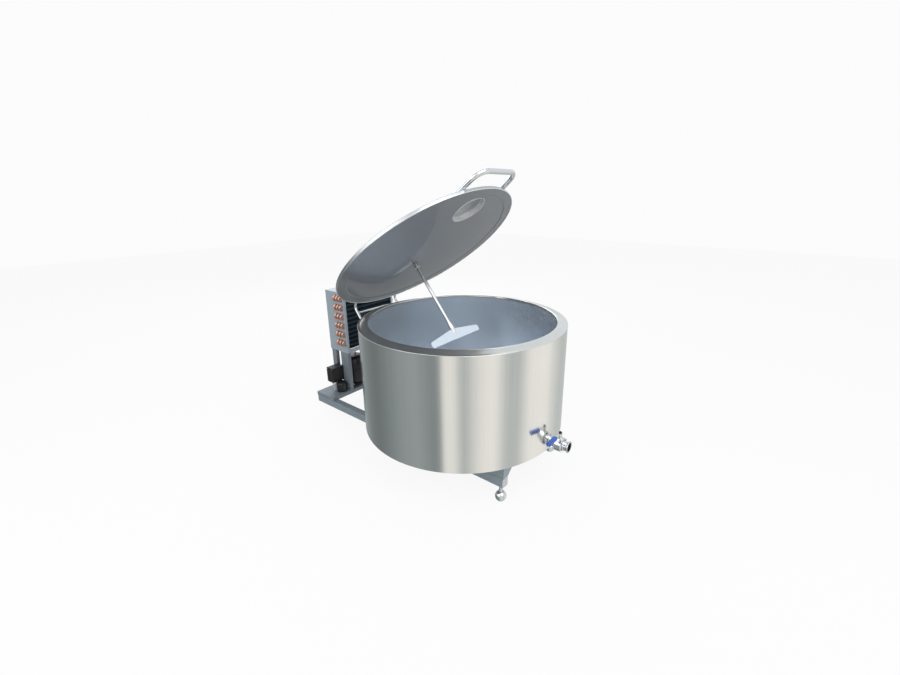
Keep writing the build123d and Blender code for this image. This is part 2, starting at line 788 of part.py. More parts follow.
def agitator_blade():
    """Plate across the shaft, deepest at the middle, with rounded tips and stiffening lips."""
    top = lid_z - apex_drop
    half = blade_length / 2
    low = top - blade_height
    tip = low + blade_end
    face = make_face(Polyline(
        (-half, low), (half, low), (half, tip), (hub_radius, top), (-hub_radius, top),
        (-half, tip), close=True))
    face = fillet(face.vertices().filter_by_position(Axis.X, -half - 1, -half + 1), blade_end * 0.42)
    face = fillet(face.vertices().filter_by_position(Axis.X, half - 1, half + 1), blade_end * 0.30)
    plate_body = extrude(Plane.XZ * face, blade_thick / 2, both=True)
    plate_body = Pos(0, shaft_y, 0) * plate_body
    for side in (-1, 1):
        x0, x1 = sorted((side * (hub_radius + 14), side * (half - 22)))
        y0, y1 = sorted((shaft_y, shaft_y + side * 18))
        plate_body += block(x0, x1, y0, y1, low, low + blade_thick)
    return plate_body - disc_at(0, shaft_y, top - shaft_tail, top + 5, shaft_radius)


# Condensing unit
unit_y0 = tank_y + unit_front
unit_y1 = tank_y + unit_rear - guard_wire
coil_y1 = unit_y0 + coil_depth
fan_x = (unit_left + unit_right) / 2
fan_z = (coil_bottom + unit_top) / 2


def base_pan():
    y0 = tank_y + pan_front
    y1 = tank_y + beam_rear
    body = block(-pan_half, pan_half, y0, y1, beam_top, pan_z)
    return body - block(-pan_half + plate, pan_half - plate, y0 + plate, y1 - plate,
                        beam_top - 1, pan_z - plate)


def channel(x, side, y0, width, z0, z1):
    """Upright folded channel: web on the outer side, flanges turned inwards."""
    web = block(min(x, x + side * plate), max(x, x + side * plate), y0, y0 + width, z0, z1)
    a, b = sorted((x, x + side * post_fold))
    front = block(a, b, y0, y0 + plate, z0, z1)
    back = block(a, b, y0 + width - plate, y0 + width, z0, z1)
    return web + front + back


def coil_posts():
    top = coil_bottom - rail_height
    posts = []
    for x, side in ((unit_left, 1), (unit_right, -1)):
        posts.append(channel(x, side, tank_y + pan_front + 2, post_front_width, pan_z, top))
        posts.append(channel(x, side, unit_y1 - post_rear_width - 12, post_rear_width, pan_z, top))
    return Compound(children=posts)


def coil_rails():
    """Open tray frame that carries the coil: four folded rails joined at the corners."""
    z0 = coil_bottom - rail_height
    frame = block(unit_left, unit_right, unit_y0, unit_y1, z0, coil_bottom)
    frame -= block(unit_left + plate, unit_right - plate, unit_y0 + plate, unit_y1 - plate,
                   z0 + plate, coil_bottom + 1)
    return frame - block(unit_left + 34, unit_right - 34, unit_y0 + 30, unit_y1 - 30,
                         z0 - 1, coil_bottom + 1)


def tube_places():
    """Rows of tube centres (y, z) in each column of the coil."""
    pitch_z = (unit_top - coil_bottom - 2 * coil_end) / tube_rows
    pitch_y = (coil_depth - 2 * coil_side) / tube_columns
    rows = []
    for column in range(tube_columns):
        y = unit_y0 + coil_side + pitch_y * (column + 0.5)
        rows.append([(y, coil_bottom + coil_end + pitch_z * (row + 0.5)) for row in range(tube_rows)])
    return rows


def tube_bores(x0, x1, radius):
    bores = []
    for column in tube_places():
        for y, z in column:
            bores.append(rod((x0, y, z), (x1, y, z), radius))
    return bores


def coil_end_plates():
    plates = []
    for x, side in ((unit_left, 1), (unit_right, -1)):
        a, b = sorted((x, x + side * plate))
        web = block(a, b, unit_y0, coil_y1, coil_bottom, unit_top - plate)
        c, d = sorted((x, x + side * 16))
        web += block(c, d, unit_y0, unit_y0 + plate, coil_bottom, unit_top - plate)
        web += block(c, d, coil_y1 - plate, coil_y1, coil_bottom, unit_top - plate)
        plates.append(web - tube_bores(a - 1, b + 1, tube_radius))
    return Compound(children=plates)


def coil_fins():
    """Fin pack: vertical fins stacked across the coil, tubes passing through."""
    x0 = unit_left + plate + 1
    x1 = unit_right - plate - 1
    y0 = unit_y0 + plate + 4
    y1 = coil_y1 - plate - 4
    pack = block(x0, x1, y0, y1, coil_bottom, unit_top - plate - 4)
    slots = []
    count = int((x1 - x0 - fin_pitch) / fin_pitch)
    for i in range(count):
        x = x0 + fin_pitch * (i + 0.75)
        slots.append(block(x, x + fin_pitch / 2, y0 - 1, y0 + fin_slot, coil_bottom - 1, unit_top))
    pack -= slots
    return pack - tube_bores(x0 - 1, x1 + 1, tube_radius)


def tube_ends(x0, radius):
    """Free ends of the first and last run in each column, out to the headers."""
    reach = unit_right + header_out - pipe_radius
    ends = []
    for column in tube_places():
        for y, z in (column[0], column[-1]):
            ends.append(rod((x0, y, z), (reach, y, z), radius))
    return ends


def coil_tubes():
    """Straight runs through the fins, joined by return bends outside the end plates."""
    x0 = unit_left - tube_stub
    x1 = unit_right + tube_stub
    radius = tube_radius - 0.01
    pieces = tube_bores(x0, x1, radius) + tube_ends(x1, radius)
    for column in tube_places():
        for row in range(tube_rows - 1):
            y, z = column[row]
            bend = (column[row + 1][1] - z) / 2
            x, out = (x0, -1) if row % 2 == 0 else (x1, 1)
            path = Plane(origin=(x, y, z + bend), x_dir=(out, 0, 0),
                         z_dir=(0, -out, 0)) * CenterArc((0, 0), bend, -90, 180)
            section = Plane(origin=path @ 0, z_dir=path % 0) * Circle(radius)
            pieces.append(sweep(section, path))
    return Compound(children=pieces)


def fan_shroud():
    """Sheet box behind the coil, with a round mouth in its back wall, and the top cover."""
    y0 = coil_y1
    body = block(unit_left, unit_right, y0, unit_y1, coil_bottom, unit_top - plate)
    body -= block(unit_left + plate, unit_right - plate, y0 - 1, unit_y1 - plate,
                  coil_bottom + plate, unit_top)
    body -= rod((fan_x, unit_y1 - 10, fan_z), (fan_x, unit_y1 + 10, fan_z), fan_radius + 8)
    top = block(unit_left, unit_right, unit_y0, unit_y1, unit_top - plate, unit_top)
    return body + top


def fan_guard():
    """Wire guard over the mouth: rings on four spokes."""
    y0 = unit_y1
    radii = [40 + 27 * i for i in range(5)]
    rings = []
    for radius in radii:
        rings.append(rod((fan_x, y0, fan_z), (fan_x, y0 + guard_wire, fan_z), radius + guard_wire,
                         radius))
    rings.append(rod((fan_x, y0, fan_z), (fan_x, y0 + guard_wire, fan_z), fan_radius + 16,
                     fan_radius + 4))
    body = rings[0] + rings[1:]
    for i in range(3):
        spoke = Box(2 * fan_radius + 20, guard_wire, guard_wire)
        body += Pos(fan_x, y0 + guard_wire / 2, fan_z) * Rot(0, 60 * i, 0) * spoke
    return body


def fan_motor():
    y1 = unit_y1
    y0 = y1 - fan_motor_length
    body = rod((fan_x, y0, fan_z), (fan_x, y1, fan_z), fan_motor_radius * 0.8)
    body = fillet(body.edges().filter_by(GeomType.CIRCLE).sort_by(Axis.Y)[0], 8)
    return body - rod((fan_x, y0 - 1, fan_z), (fan_x, y0 + 20, fan_z), 4 + shaft_fit)


def fan_rotor():
    """Hub with pitched blades, turning between the coil and the motor."""
    y1 = unit_y1 - fan_motor_length - 1
    y0 = y1 - fan_deep
    hub = rod((fan_x, y0, fan_z), (fan_x, y1, fan_z), fan_hub)
    hub += rod((fan_x, y1 - 1, fan_z), (fan_x, y1 + 18, fan_z), 4)
    blade_in = fan_hub - 4
    for i in range(fan_blades):
        face = make_face(Polyline(
            (-blade_root, blade_in), (blade_root, blade_in), (blade_lead, fan_radius * 0.94),
            (-blade_trail, fan_radius * 0.94), close=True))
        blade = extrude(face, blade_plate / 2, both=True)
        blade = Rot(0, 24, 0) * blade
        blade = Rot(90, 0, 0) * blade
        hub += Pos(fan_x, (y0 + y1) / 2, fan_z) * Rot(0, 360 / fan_blades * i, 0) * blade
    return hub


def compressor():
    """Welded pot: rounded base and dome with the seam between them."""
    z0 = pan_z + mount_height
    z1 = z0 + compressor_height
    y = tank_y + compressor_back
    pot = disc_at(compressor_x, y, z0, z1, compressor_radius)
    rims = pot.edges().filter_by(GeomType.CIRCLE).sort_by(Axis.Z)
    pot = fillet(rims[-1], compressor_radius / 2)
    rims = pot.edges().filter_by(GeomType.CIRCLE).sort_by(Axis.Z)
    pot = fillet(rims[0], compressor_radius / 4)
    seam = (z0 + z1) / 2
    return pot + disc_at(compressor_x, y, seam, seam + 7, compressor_radius + 4)


def compressor_mounts():
    """Foot plate on four rubber bushes."""
    y = tank_y + compressor_back
    reach = mount_spread + 14
    tray = block(compressor_x - reach, compressor_x + reach, y - reach, y + reach,
                 pan_z + mount_height - 3, pan_z + mount_height)
    tray = fillet(tray.edges().filter_by(Axis.Z), 12)
    bushes = []
    for i in (-1, 1):
        for j in (-1, 1):
            bushes.append(disc_at(compressor_x + i * mount_spread, y + j * mount_spread,
                                  pan_z, pan_z + mount_height - 3, mount_radius))
    return Compound(children=[tray] + bushes)


def terminal_cover():
    y = tank_y + compressor_back
    z = pan_z + mount_height + 40
    body = block(compressor_x + compressor_radius * 0.6, compressor_x + compressor_radius + 30,
                 y - 34, y + 34, z, z + 44)
    pot = disc_at(compressor_x, y, z - 60, z + 120, compressor_radius + 0.01)
    return fillet(body.edges().filter_by(Axis.X), 6) - pot


def receiver():
    body = disc_at(receiver_x, tank_y + receiver_back, pan_z, pan_z + receiver_height,
                   receiver_radius)
    return fillet(body.edges().filter_by(GeomType.CIRCLE).sort_by(Axis.Z)[-1], receiver_radius / 3)


# Control box on the side of the stand
box_x1 = unit_left
box_x0 = box_x1 - box_reach
box_y0 = tank_y + box_back
box_y1 = box_y0 + box_width


def control_box():
    body = block(box_x0 + cover_thick, box_x1, box_y0, box_y1, box_bottom, box_bottom + box_height)
    body -= block(box_x0 + cover_thick - 1, box_x1 - box_wall, box_y0 + box_wall, box_y1 - box_wall,
                  box_bottom + box_wall, box_bottom + box_height - box_wall)
    return body


def gland_x(i):
    return box_x0 + gland_first + gland_pitch * i


def control_cover():
    body = block(box_x0, box_x0 + cover_thick, box_y0 - 1.5, box_y1 + 1.5, box_bottom - 1.5,
                 box_bottom + box_height + 1.5)
    return fillet(body.edges().filter_by(Axis.X), 5)


def cable_glands():
    y = (box_y0 + box_y1) / 2
    nut_length = gland_length * 0.6
    glands = []
    for i in range(3):
        nut = extrude(RegularPolygon(gland_radius, 6), nut_length)
        nut = Pos(gland_x(i), y, box_bottom - nut_length) * nut
        glands.append(nut + disc_at(gland_x(i), y, box_bottom - gland_length,
                                    box_bottom - nut_length, gland_radius * 0.7))
    return Compound(children=glands)


def control_cables():
    """Three cables from the glands down on to the base pan, held at both ends."""
    y = (box_y0 + box_y1) / 2
    top = box_bottom - gland_length
    cables = []
    for i in range(3):
        x = gland_x(i)
        points = [(x, y, top), (x, y, top - 24), (x + 6, y - 8, top - 44), (x + 6, y - 8, pan_z)]
        cables.append(tube_along(points, [20.0, 20.0], cable_radius))
    return Compound(children=cables)


def refrigerant_pipes():
    """Hot gas up to the coil, liquid down to the receiver, and both lines to the tank."""
    yc = tank_y + compressor_back
    yl = yc + line_aside
    yr = tank_y + receiver_back
    pot_top = pan_z + mount_height + compressor_height
    low = pan_z + pipe_radius + 3
    head_x = unit_right + header_out
    head_y = tube_places()[0][0][0] - tube_radius
    z_low = tube_places()[0][0][1]
    z_high = tube_places()[0][-1][1]
    hot = tube_along([
        (compressor_x + 30, yl, pot_top), (compressor_x + 30, yl, pot_top + 30),
        (head_x, yl, pot_top + 30), (head_x, yl, z_high), (head_x, head_y, z_high),
    ], [16.0, 16.0, 16.0], pipe_radius)
    liquid = tube_along([
        (head_x, head_y, z_low), (head_x, yl, z_low), (head_x, yl, low),
        (receiver_x, yl, low), (receiver_x, yr, low),
    ], [16.0, 16.0, 16.0], pipe_radius)
    feed = tube_along([
        (receiver_x + line_aside, yr, low), (receiver_x + line_aside, yl - line_pitch, low),
        (feed_x, yl - line_pitch, low), (feed_x, hinge_y + line_run, low), (feed_x, hinge_y, line_z),
        (feed_x, tank_y + shell_radius * 0.8, line_z),
    ], [16.0, 16.0, 60.0, 60.0], pipe_radius)
    suction = tube_along([
        (0, tank_y + shell_radius, line_z), (0, hinge_y, line_z),
        (0, hinge_y + line_run, line_z + 46), (0, yc, line_z + 46),
    ], [60.0, 60.0], pipe_radius + 3)
    tank = Pos(0, tank_y, 0) * ring(shell_radius, 0, tank_bottom, seam_z)
    flask = disc_at(receiver_x, yr, pan_z, pan_z + receiver_height, receiver_radius)
    pot = disc_at(compressor_x, yc, pan_z + mount_height, pot_top, compressor_radius)
    return Compound(children=[hot, liquid - flask, feed - tank - flask, suction - pot])


NODES = {
    "outer_shell": outer_shell, "top_rim": top_rim, "inner_vessel": inner_vessel,
    "wall_insulation": insulation_wall, "floor_insulation": insulation_floor,
    "evaporator": evaporator, "bottom_pan": bottom_pan,
    "outlet_pipe": outlet_pipe, "valve_body": valve_body, "valve_seat": valve_seat,
    "valve_bolts": valve_bolts, "outlet_ferrule": outlet_ferrule,
    "valve_disc": valve_disc, "valve_lever": valve_lever, "valve_grip": valve_grip,
    "beam_end_caps": beam_caps, "cross_tubes": cross_tubes, "saddles": saddles,
    "foot_sockets": foot_sockets,
    "hinge_lugs": hinge_lugs, "hinge_pins": hinge_pins,
    "base_pan": base_pan, "coil_posts": coil_posts, "coil_rails": coil_rails,
    "coil_end_plates": coil_end_plates, "coil_fins": coil_fins, "coil_tubes": coil_tubes,
    "fan_shroud": fan_shroud, "fan_guard": fan_guard, "fan_motor": fan_motor,
    "fan_rotor": fan_rotor, "compressor": compressor, "compressor_mounts": compressor_mounts,
    "terminal_cover": terminal_cover, "liquid_receiver": receiver,
    "control_box": control_box, "control_box_cover": control_cover, "cable_glands": cable_glands,
    "control_cables": control_cables, "refrigerant_pipes": refrigerant_pipes,
}
LID_NODES = {
    "lid_shell": lid_shell, "lid_liner": lid_liner, "hatch_collar": hatch_collar,
    "hatch_cover": hatch_cover, "hatch_knob": hatch_knob, "lid_handle": lid_handle,
    "hinge_frame": hinge_frame, "gearbox": gearbox, "gear_motor": gear_motor,
    "agitator_shaft": agitator_shaft, "shaft_coupling": shaft_coupling,
    "agitator_hub": agitator_hub, "agitator_blade": agitator_blade,
}

os.makedirs("parts", exist_ok=True)
for side, x in (("left", -beam_x), ("right", beam_x)):
    save("%s_beam" % side, beam(x))
for name, (x, y) in foot_places.items():
    save(name, Pos(x, y, 0) * foot())
for name, make in NODES.items():
    save(name, make())
for name, make in LID_NODES.items():
    save(name, opened(make()))
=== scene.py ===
import math

import bpy
import numpy as np
from mathutils import Matrix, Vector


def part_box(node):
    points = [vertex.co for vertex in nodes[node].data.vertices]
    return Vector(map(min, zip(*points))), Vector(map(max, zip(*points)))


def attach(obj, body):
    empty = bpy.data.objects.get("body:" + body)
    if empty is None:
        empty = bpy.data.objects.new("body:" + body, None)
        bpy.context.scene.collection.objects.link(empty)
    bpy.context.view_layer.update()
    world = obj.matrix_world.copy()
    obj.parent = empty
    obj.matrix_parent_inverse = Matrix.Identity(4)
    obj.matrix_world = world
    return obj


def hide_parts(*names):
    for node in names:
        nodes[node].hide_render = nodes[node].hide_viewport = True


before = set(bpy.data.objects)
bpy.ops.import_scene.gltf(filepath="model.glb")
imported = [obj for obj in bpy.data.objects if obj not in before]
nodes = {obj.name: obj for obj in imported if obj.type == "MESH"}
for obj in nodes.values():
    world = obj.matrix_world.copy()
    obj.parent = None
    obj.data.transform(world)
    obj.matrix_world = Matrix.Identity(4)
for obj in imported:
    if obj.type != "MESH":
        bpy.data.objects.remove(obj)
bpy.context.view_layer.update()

# Camera: it stands ahead of the left front foot, a little above the open lid's middle, and
# looks down across the tank.  Its place and angles were worked out from the rims' ellipses.
camera_place = (-1.8828, -1.6817, 1.5618)
camera_heading = math.radians(-51.95)
camera_tilt = math.radians(90 - 17.49)
camera_roll = math.radians(-0.41)
camera_lens = 17.02
camera_shift = (-0.0138, -0.0137)

camera = bpy.data.cameras.new("photo_camera")
camera.lens = camera_lens
camera.sensor_width = 36
camera.shift_x, camera.shift_y = camera_shift
camera.clip_start = 0.05
camera_object = bpy.data.objects.new("photo_camera", camera)
camera_object.matrix_world = (
    Matrix.Translation(camera_place)
    @ Matrix.Rotation(camera_heading, 4, "Z")
    @ Matrix.Rotation(camera_tilt, 4, "X")
    @ Matrix.Rotation(camera_roll, 4, "Z")
)
bpy.context.scene.collection.objects.link(camera_object)
bpy.context.scene.camera = camera_object
bpy.context.scene.view_settings.view_transform = "Standard"


# Studio floor: one large pale sheet.  A new mesh is a grid of points, one row per step along
# the first parameter, and closing a direction joins its last row to its first.
def mesh_piece(name, points, faces):
    """A new object from a list of points and a list of faces."""
    mesh = bpy.data.meshes.new(name)
    mesh.from_pydata(points, [], faces)
    piece = bpy.data.objects.new(name, mesh)
    bpy.context.scene.collection.objects.link(piece)
    return piece


def grid_piece(name, points, close_rows=False, close_columns=False, smooth=True):
    """Quads between neighbouring points of a (rows, columns, 3) array, faces outwards."""
    rows, columns = points.shape[:2]
    index = np.arange(rows * columns).reshape(rows, columns)
    if close_rows:
        index = np.vstack([index, index[:1]])
    if close_columns:
        index = np.hstack([index, index[:, :1]])
    quads = np.stack([index[:-1, :-1], index[1:, :-1], index[1:, 1:], index[:-1, 1:]], -1)
    piece = mesh_piece(name, points.reshape(-1, 3).tolist(), quads.reshape(-1, 4).tolist())
    faces = piece.data.polygons
    faces.foreach_set("use_smooth", np.full(len(faces), smooth))
    return piece


floor_half = 12.0
floor_drop = 0.0005                 # below the feet, so that no two faces coincide
floor_paint = 0.86
floor_white_share = 0.90            # plain white to the camera, over the paint with its shadow
floor_corners = np.array([[(-floor_half, -floor_half, 0), (floor_half, -floor_half, 0)],
                          [(-floor_half, floor_half, 0), (floor_half, floor_half, 0)]])
studio_floor = grid_piece("studio_floor", floor_corners[::-1], smooth=False)
studio_floor.location.z = -floor_drop
floor_finish = bpy.data.materials.new("floor_finish")
floor_finish.use_nodes = True
floor_nodes = floor_finish.node_tree.nodes
floor_links = floor_finish.node_tree.links
floor_matt = floor_nodes["Principled BSDF"]
floor_matt.inputs["Base Color"].default_value = (floor_paint, floor_paint, floor_paint, 1)
floor_matt.inputs["Roughness"].default_value = 0.9
floor_glow = floor_nodes.new("ShaderNodeEmission")
floor_glow.inputs["Color"].default_value = (1, 1, 1, 1)
floor_glow.inputs["Strength"].default_value = 1.0
floor_path = floor_nodes.new("ShaderNodeLightPath")
floor_share = floor_nodes.new("ShaderNodeMath")
floor_share.operation = "MULTIPLY"
floor_share.inputs[1].default_value = floor_white_share
floor_mix = floor_nodes.new("ShaderNodeMixShader")
floor_links.new(floor_path.outputs["Is Camera Ray"], floor_share.inputs[0])
floor_links.new(floor_share.outputs[0], floor_mix.inputs[0])
floor_links.new(floor_matt.outputs[0], floor_mix.inputs[1])
floor_links.new(floor_glow.outputs[0], floor_mix.inputs[2])
floor_links.new(floor_mix.outputs[0], floor_nodes["Material Output"].inputs["Surface"])
studio_floor.data.materials.append(floor_finish)
studio_floor.visible_glossy = False


# Studio light: a white room to the camera, an even level on matt surfaces, and for gloss a
# pale ceiling over a ring of low screens, whose images stand as bands on the steel wall.
matt_level = 0.55
backdrop_white = 0.97               # close to the floor's, so that the line between them fades
ceiling_colour = (0.86, 0.90, 0.95, 1)
ceiling_start, ceiling_full = -0.06, 0.10     # upward part of the direction that is reflected
world = bpy.data.worlds.new("studio_room")
bpy.context.scene.world = world
world.use_nodes = True
room_nodes = world.node_tree.nodes
room_links = world.node_tree.links
room_out = room_nodes["World Output"]
room_light = room_nodes["Background"]
room_light.inputs["Color"].default_value = (0.97, 0.985, 1.0, 1)
room_light.inputs["Strength"].default_value = matt_level
room_white = room_nodes.new("ShaderNodeBackground")
room_white.inputs["Color"].default_value = (1, 1, 1, 1)
room_white.inputs["Strength"].default_value = backdrop_white
room_screens = room_nodes.new("ShaderNodeBackground")
room_screens.inputs["Strength"].default_value = 1.0
room_path = room_nodes.new("ShaderNodeLightPath")
room_place = room_nodes.new("ShaderNodeTexCoord")
room_axes = room_nodes.new("ShaderNodeSeparateXYZ")
room_turn = room_nodes.new("ShaderNodeMath")
room_turn.operation = "ARCTAN2"
room_range = room_nodes.new("ShaderNodeMapRange")
room_range.inputs["From Min"].default_value = -math.pi
room_range.inputs["From Max"].default_value = math.pi
room_bands = room_nodes.new("ShaderNodeValToRGB")
room_links.new(room_place.outputs["Generated"], room_axes.inputs[0])
room_links.new(room_axes.outputs["X"], room_turn.inputs[0])
room_links.new(room_axes.outputs["Y"], room_turn.inputs[1])
room_links.new(room_turn.outputs[0], room_range.inputs["Value"])
room_links.new(room_range.outputs[0], room_bands.inputs[0])
room_height = room_nodes.new("ShaderNodeMapRange")
room_height.inputs["From Min"].default_value = ceiling_start
room_height.inputs["From Max"].default_value = ceiling_full
room_layers = room_nodes.new("ShaderNodeMix")
room_layers.data_type = "RGBA"
room_layers.inputs[7].default_value = ceiling_colour
room_links.new(room_axes.outputs["Z"], room_height.inputs["Value"])
room_links.new(room_height.outputs[0], room_layers.inputs[0])
room_links.new(room_bands.outputs[0], room_layers.inputs[6])
room_links.new(room_layers.outputs[2], room_screens.inputs["Color"])
# Each screen: bearing in degrees clockwise from the rear, and how bright it is.  Between two
# screens the level changes evenly.  Dim ones are a little green-blue, bright ones a little warm.
screens = [(-180, 0.60), (-174, 0.64), (-168, 0.84), (-162, 1.00), (-156, 1.00), (-147, 0.92),
           (-140, 0.82), (-134, 0.66), (-129, 0.52), (-125, 0.62), (-119, 0.92), (-107, 1.00),
           (-104, 0.36), (-98, 0.27), (-88, 0.34), (-76, 0.40), (-58, 0.36), (-45, 0.30),
           (-30, 0.24), (-18, 0.21), (0, 0.26), (60, 0.60), (100, 0.62), (117, 0.78),
           (130, 1.00), (154, 1.00), (163, 0.84), (170, 0.61)]
dim_tint = np.array([0.88, 1.00, 1.02])
bright_tint = np.array([1.00, 0.985, 0.94])
dim_level, bright_level = 0.3, 0.9
room_stops = room_bands.color_ramp.elements
room_stops.remove(room_stops[1])
for i, (bearing, level) in enumerate(screens):
    stop = room_stops.new((bearing + 180) / 360) if i else room_stops[0]
    warmth = min(max((level - dim_level) / (bright_level - dim_level), 0), 1)
    stop.color = (*(level * (dim_tint * (1 - warmth) + bright_tint * warmth)), 1)
room_gloss_mix = room_nodes.new("ShaderNodeMixShader")
room_mix = room_nodes.new("ShaderNodeMixShader")
room_seen = room_nodes.new("ShaderNodeMath")
room_seen.operation = "MAXIMUM"
room_links.new(room_path.outputs["Is Camera Ray"], room_seen.inputs[0])
room_links.new(room_path.outputs["Is Transmission Ray"], room_seen.inputs[1])
room_links.new(room_path.outputs["Is Glossy Ray"], room_gloss_mix.inputs[0])
room_links.new(room_light.outputs[0], room_gloss_mix.inputs[1])
room_links.new(room_screens.outputs[0], room_gloss_mix.inputs[2])
room_links.new(room_seen.outputs[0], room_mix.inputs[0])
room_links.new(room_gloss_mix.outputs[0], room_mix.inputs[1])
room_links.new(room_white.outputs[0], room_mix.inputs[2])
room_links.new(room_mix.outputs[0], room_out.inputs["Surface"])


def softbox(name, place, aim, size, watts):
    """A square lamp at place, turned to shine at aim."""
    lamp = bpy.data.lights.new(name, "AREA")
    lamp.size = size
    lamp.energy = watts
    lamp_object = bpy.data.objects.new(name, lamp)
    bpy.context.scene.collection.objects.link(lamp_object)
    away = Matrix.Translation(place).translation - Matrix.Translation(aim).translation
    turned = away.to_track_quat("Z", "Y").to_matrix().to_4x4()
    lamp_object.matrix_world = Matrix.Translation(place) @ turned


softbox("key_light", (-1.2, -3.4, 4.2), (0, 0, 0.6), size=4.0, watts=100)
softbox("fill_light", (-4.0, 0.6, 2.6), (0, 0, 0.7), size=3.6, watts=50)
softbox("back_light", (2.6, 3.4, 3.2), (0, 0, 0.8), size=4.0, watts=60)


# Stainless wall: one rolled sheet with a fine upright grain, welded to the shoulder of the rim
# and to the bottom pan.  Its two ends meet in a ground weld at the back.
def grain_group():
    """Grain of brushed metal: streaks along one axis, in colour, roughness and height."""
    group = bpy.data.node_groups.new("metal_grain", "ShaderNodeTree")
    sockets = group.interface
    sockets.new_socket("Colour", in_out="INPUT", socket_type="NodeSocketColor")
    sockets.new_socket("Roughness", in_out="INPUT", socket_type="NodeSocketFloat")
    sockets.new_socket("Stretch", in_out="INPUT", socket_type="NodeSocketVector")
    sockets.new_socket("Streaks", in_out="INPUT", socket_type="NodeSocketFloat")
    sockets.new_socket("Clouds", in_out="INPUT", socket_type="NodeSocketFloat")
    sockets.new_socket("Colour", in_out="OUTPUT", socket_type="NodeSocketColor")
    sockets.new_socket("Roughness", in_out="OUTPUT", socket_type="NodeSocketFloat")
    sockets.new_socket("Height", in_out="OUTPUT", socket_type="NodeSocketFloat")
    parts, join = group.nodes, group.links
    inputs = parts.new("NodeGroupInput")
    outputs = parts.new("NodeGroupOutput")
    place = parts.new("ShaderNodeTexCoord")
    stretch = parts.new("ShaderNodeVectorMath")
    stretch.operation = "MULTIPLY"
    streaks = parts.new("ShaderNodeTexNoise")
    streaks.inputs["Scale"].default_value = 1.0
    streaks.inputs["Detail"].default_value = 4.0
    clouds = parts.new("ShaderNodeTexNoise")
    clouds.inputs["Scale"].default_value = 5.0
    clouds.inputs["Detail"].default_value = 3.0
    join.new(place.outputs["Object"], stretch.inputs[0])
    join.new(inputs.outputs["Stretch"], stretch.inputs[1])
    join.new(stretch.outputs[0], streaks.inputs["Vector"])
    join.new(place.outputs["Object"], clouds.inputs["Vector"])

    def centred(noise, amount):
        """Noise less its mean, times an amount."""
        less = parts.new("ShaderNodeMath")
        less.operation = "SUBTRACT"
        less.inputs[1].default_value = 0.5
        times = parts.new("ShaderNodeMath")
        times.operation = "MULTIPLY"
        join.new(noise.outputs[0], less.inputs[0])
        join.new(less.outputs[0], times.inputs[0])
        join.new(amount, times.inputs[1])
        return times.outputs[0]

    total = parts.new("ShaderNodeMath")
    total.operation = "ADD"
    join.new(centred(streaks, inputs.outputs["Streaks"]), total.inputs[0])
    join.new(centred(clouds, inputs.outputs["Clouds"]), total.inputs[1])
    level = parts.new("ShaderNodeMath")
    level.operation = "ADD"
    level.inputs[1].default_value = 1.0
    join.new(total.outputs[0], level.inputs[0])
    shade = parts.new("ShaderNodeVectorMath")
    shade.operation = "SCALE"
    join.new(inputs.outputs["Colour"], shade.inputs[0])
    join.new(level.outputs[0], shade.inputs["Scale"])
    join.new(shade.outputs[0], outputs.inputs["Colour"])
    rough = parts.new("ShaderNodeMath")
    rough.operation = "MULTIPLY"
    join.new(inputs.outputs["Roughness"], rough.inputs[0])
    join.new(level.outputs[0], rough.inputs[1])
    join.new(rough.outputs[0], outputs.inputs["Roughness"])
    join.new(streaks.outputs[0], outputs.inputs["Height"])
    return group


metal_grain = grain_group()


def metal_finish(name, colour, roughness, stretch, streaks=0.1, clouds=0.08, bump=0.0, satin=0.0,
                 sheen=0.0):
    """Bare metal with the grain above; stretch is how many streaks go to a metre on each axis.

    Satin is the share of light that a blasted or matt face scatters, and sheen the share of a
    thin polished film over it."""
    finish = bpy.data.materials.new(name)
    finish.use_nodes = True
    parts, join = finish.node_tree.nodes, finish.node_tree.links
    steel = parts["Principled BSDF"]
    steel.inputs["Metallic"].default_value = 1.0 - satin
    steel.inputs["Coat Weight"].default_value = sheen
    steel.inputs["Coat Roughness"].default_value = 0.04
    grain = parts.new("ShaderNodeGroup")
    grain.node_tree = metal_grain
    grain.inputs["Colour"].default_value = (*colour, 1)
    grain.inputs["Roughness"].default_value = roughness
    grain.inputs["Stretch"].default_value = stretch
    grain.inputs["Streaks"].default_value = streaks
    grain.inputs["Clouds"].default_value = clouds
    join.new(grain.outputs["Colour"], steel.inputs["Base Color"])
    join.new(grain.outputs["Roughness"], steel.inputs["Roughness"])
    if bump > 0:
        relief = parts.new("ShaderNodeBump")
        relief.inputs["Strength"].default_value = bump
        relief.inputs["Distance"].default_value = 0.0005
        join.new(grain.outputs["Height"], relief.inputs["Height"])
        join.new(relief.outputs[0], steel.inputs["Normal"])
    return finish


crisp_angle = math.radians(32)


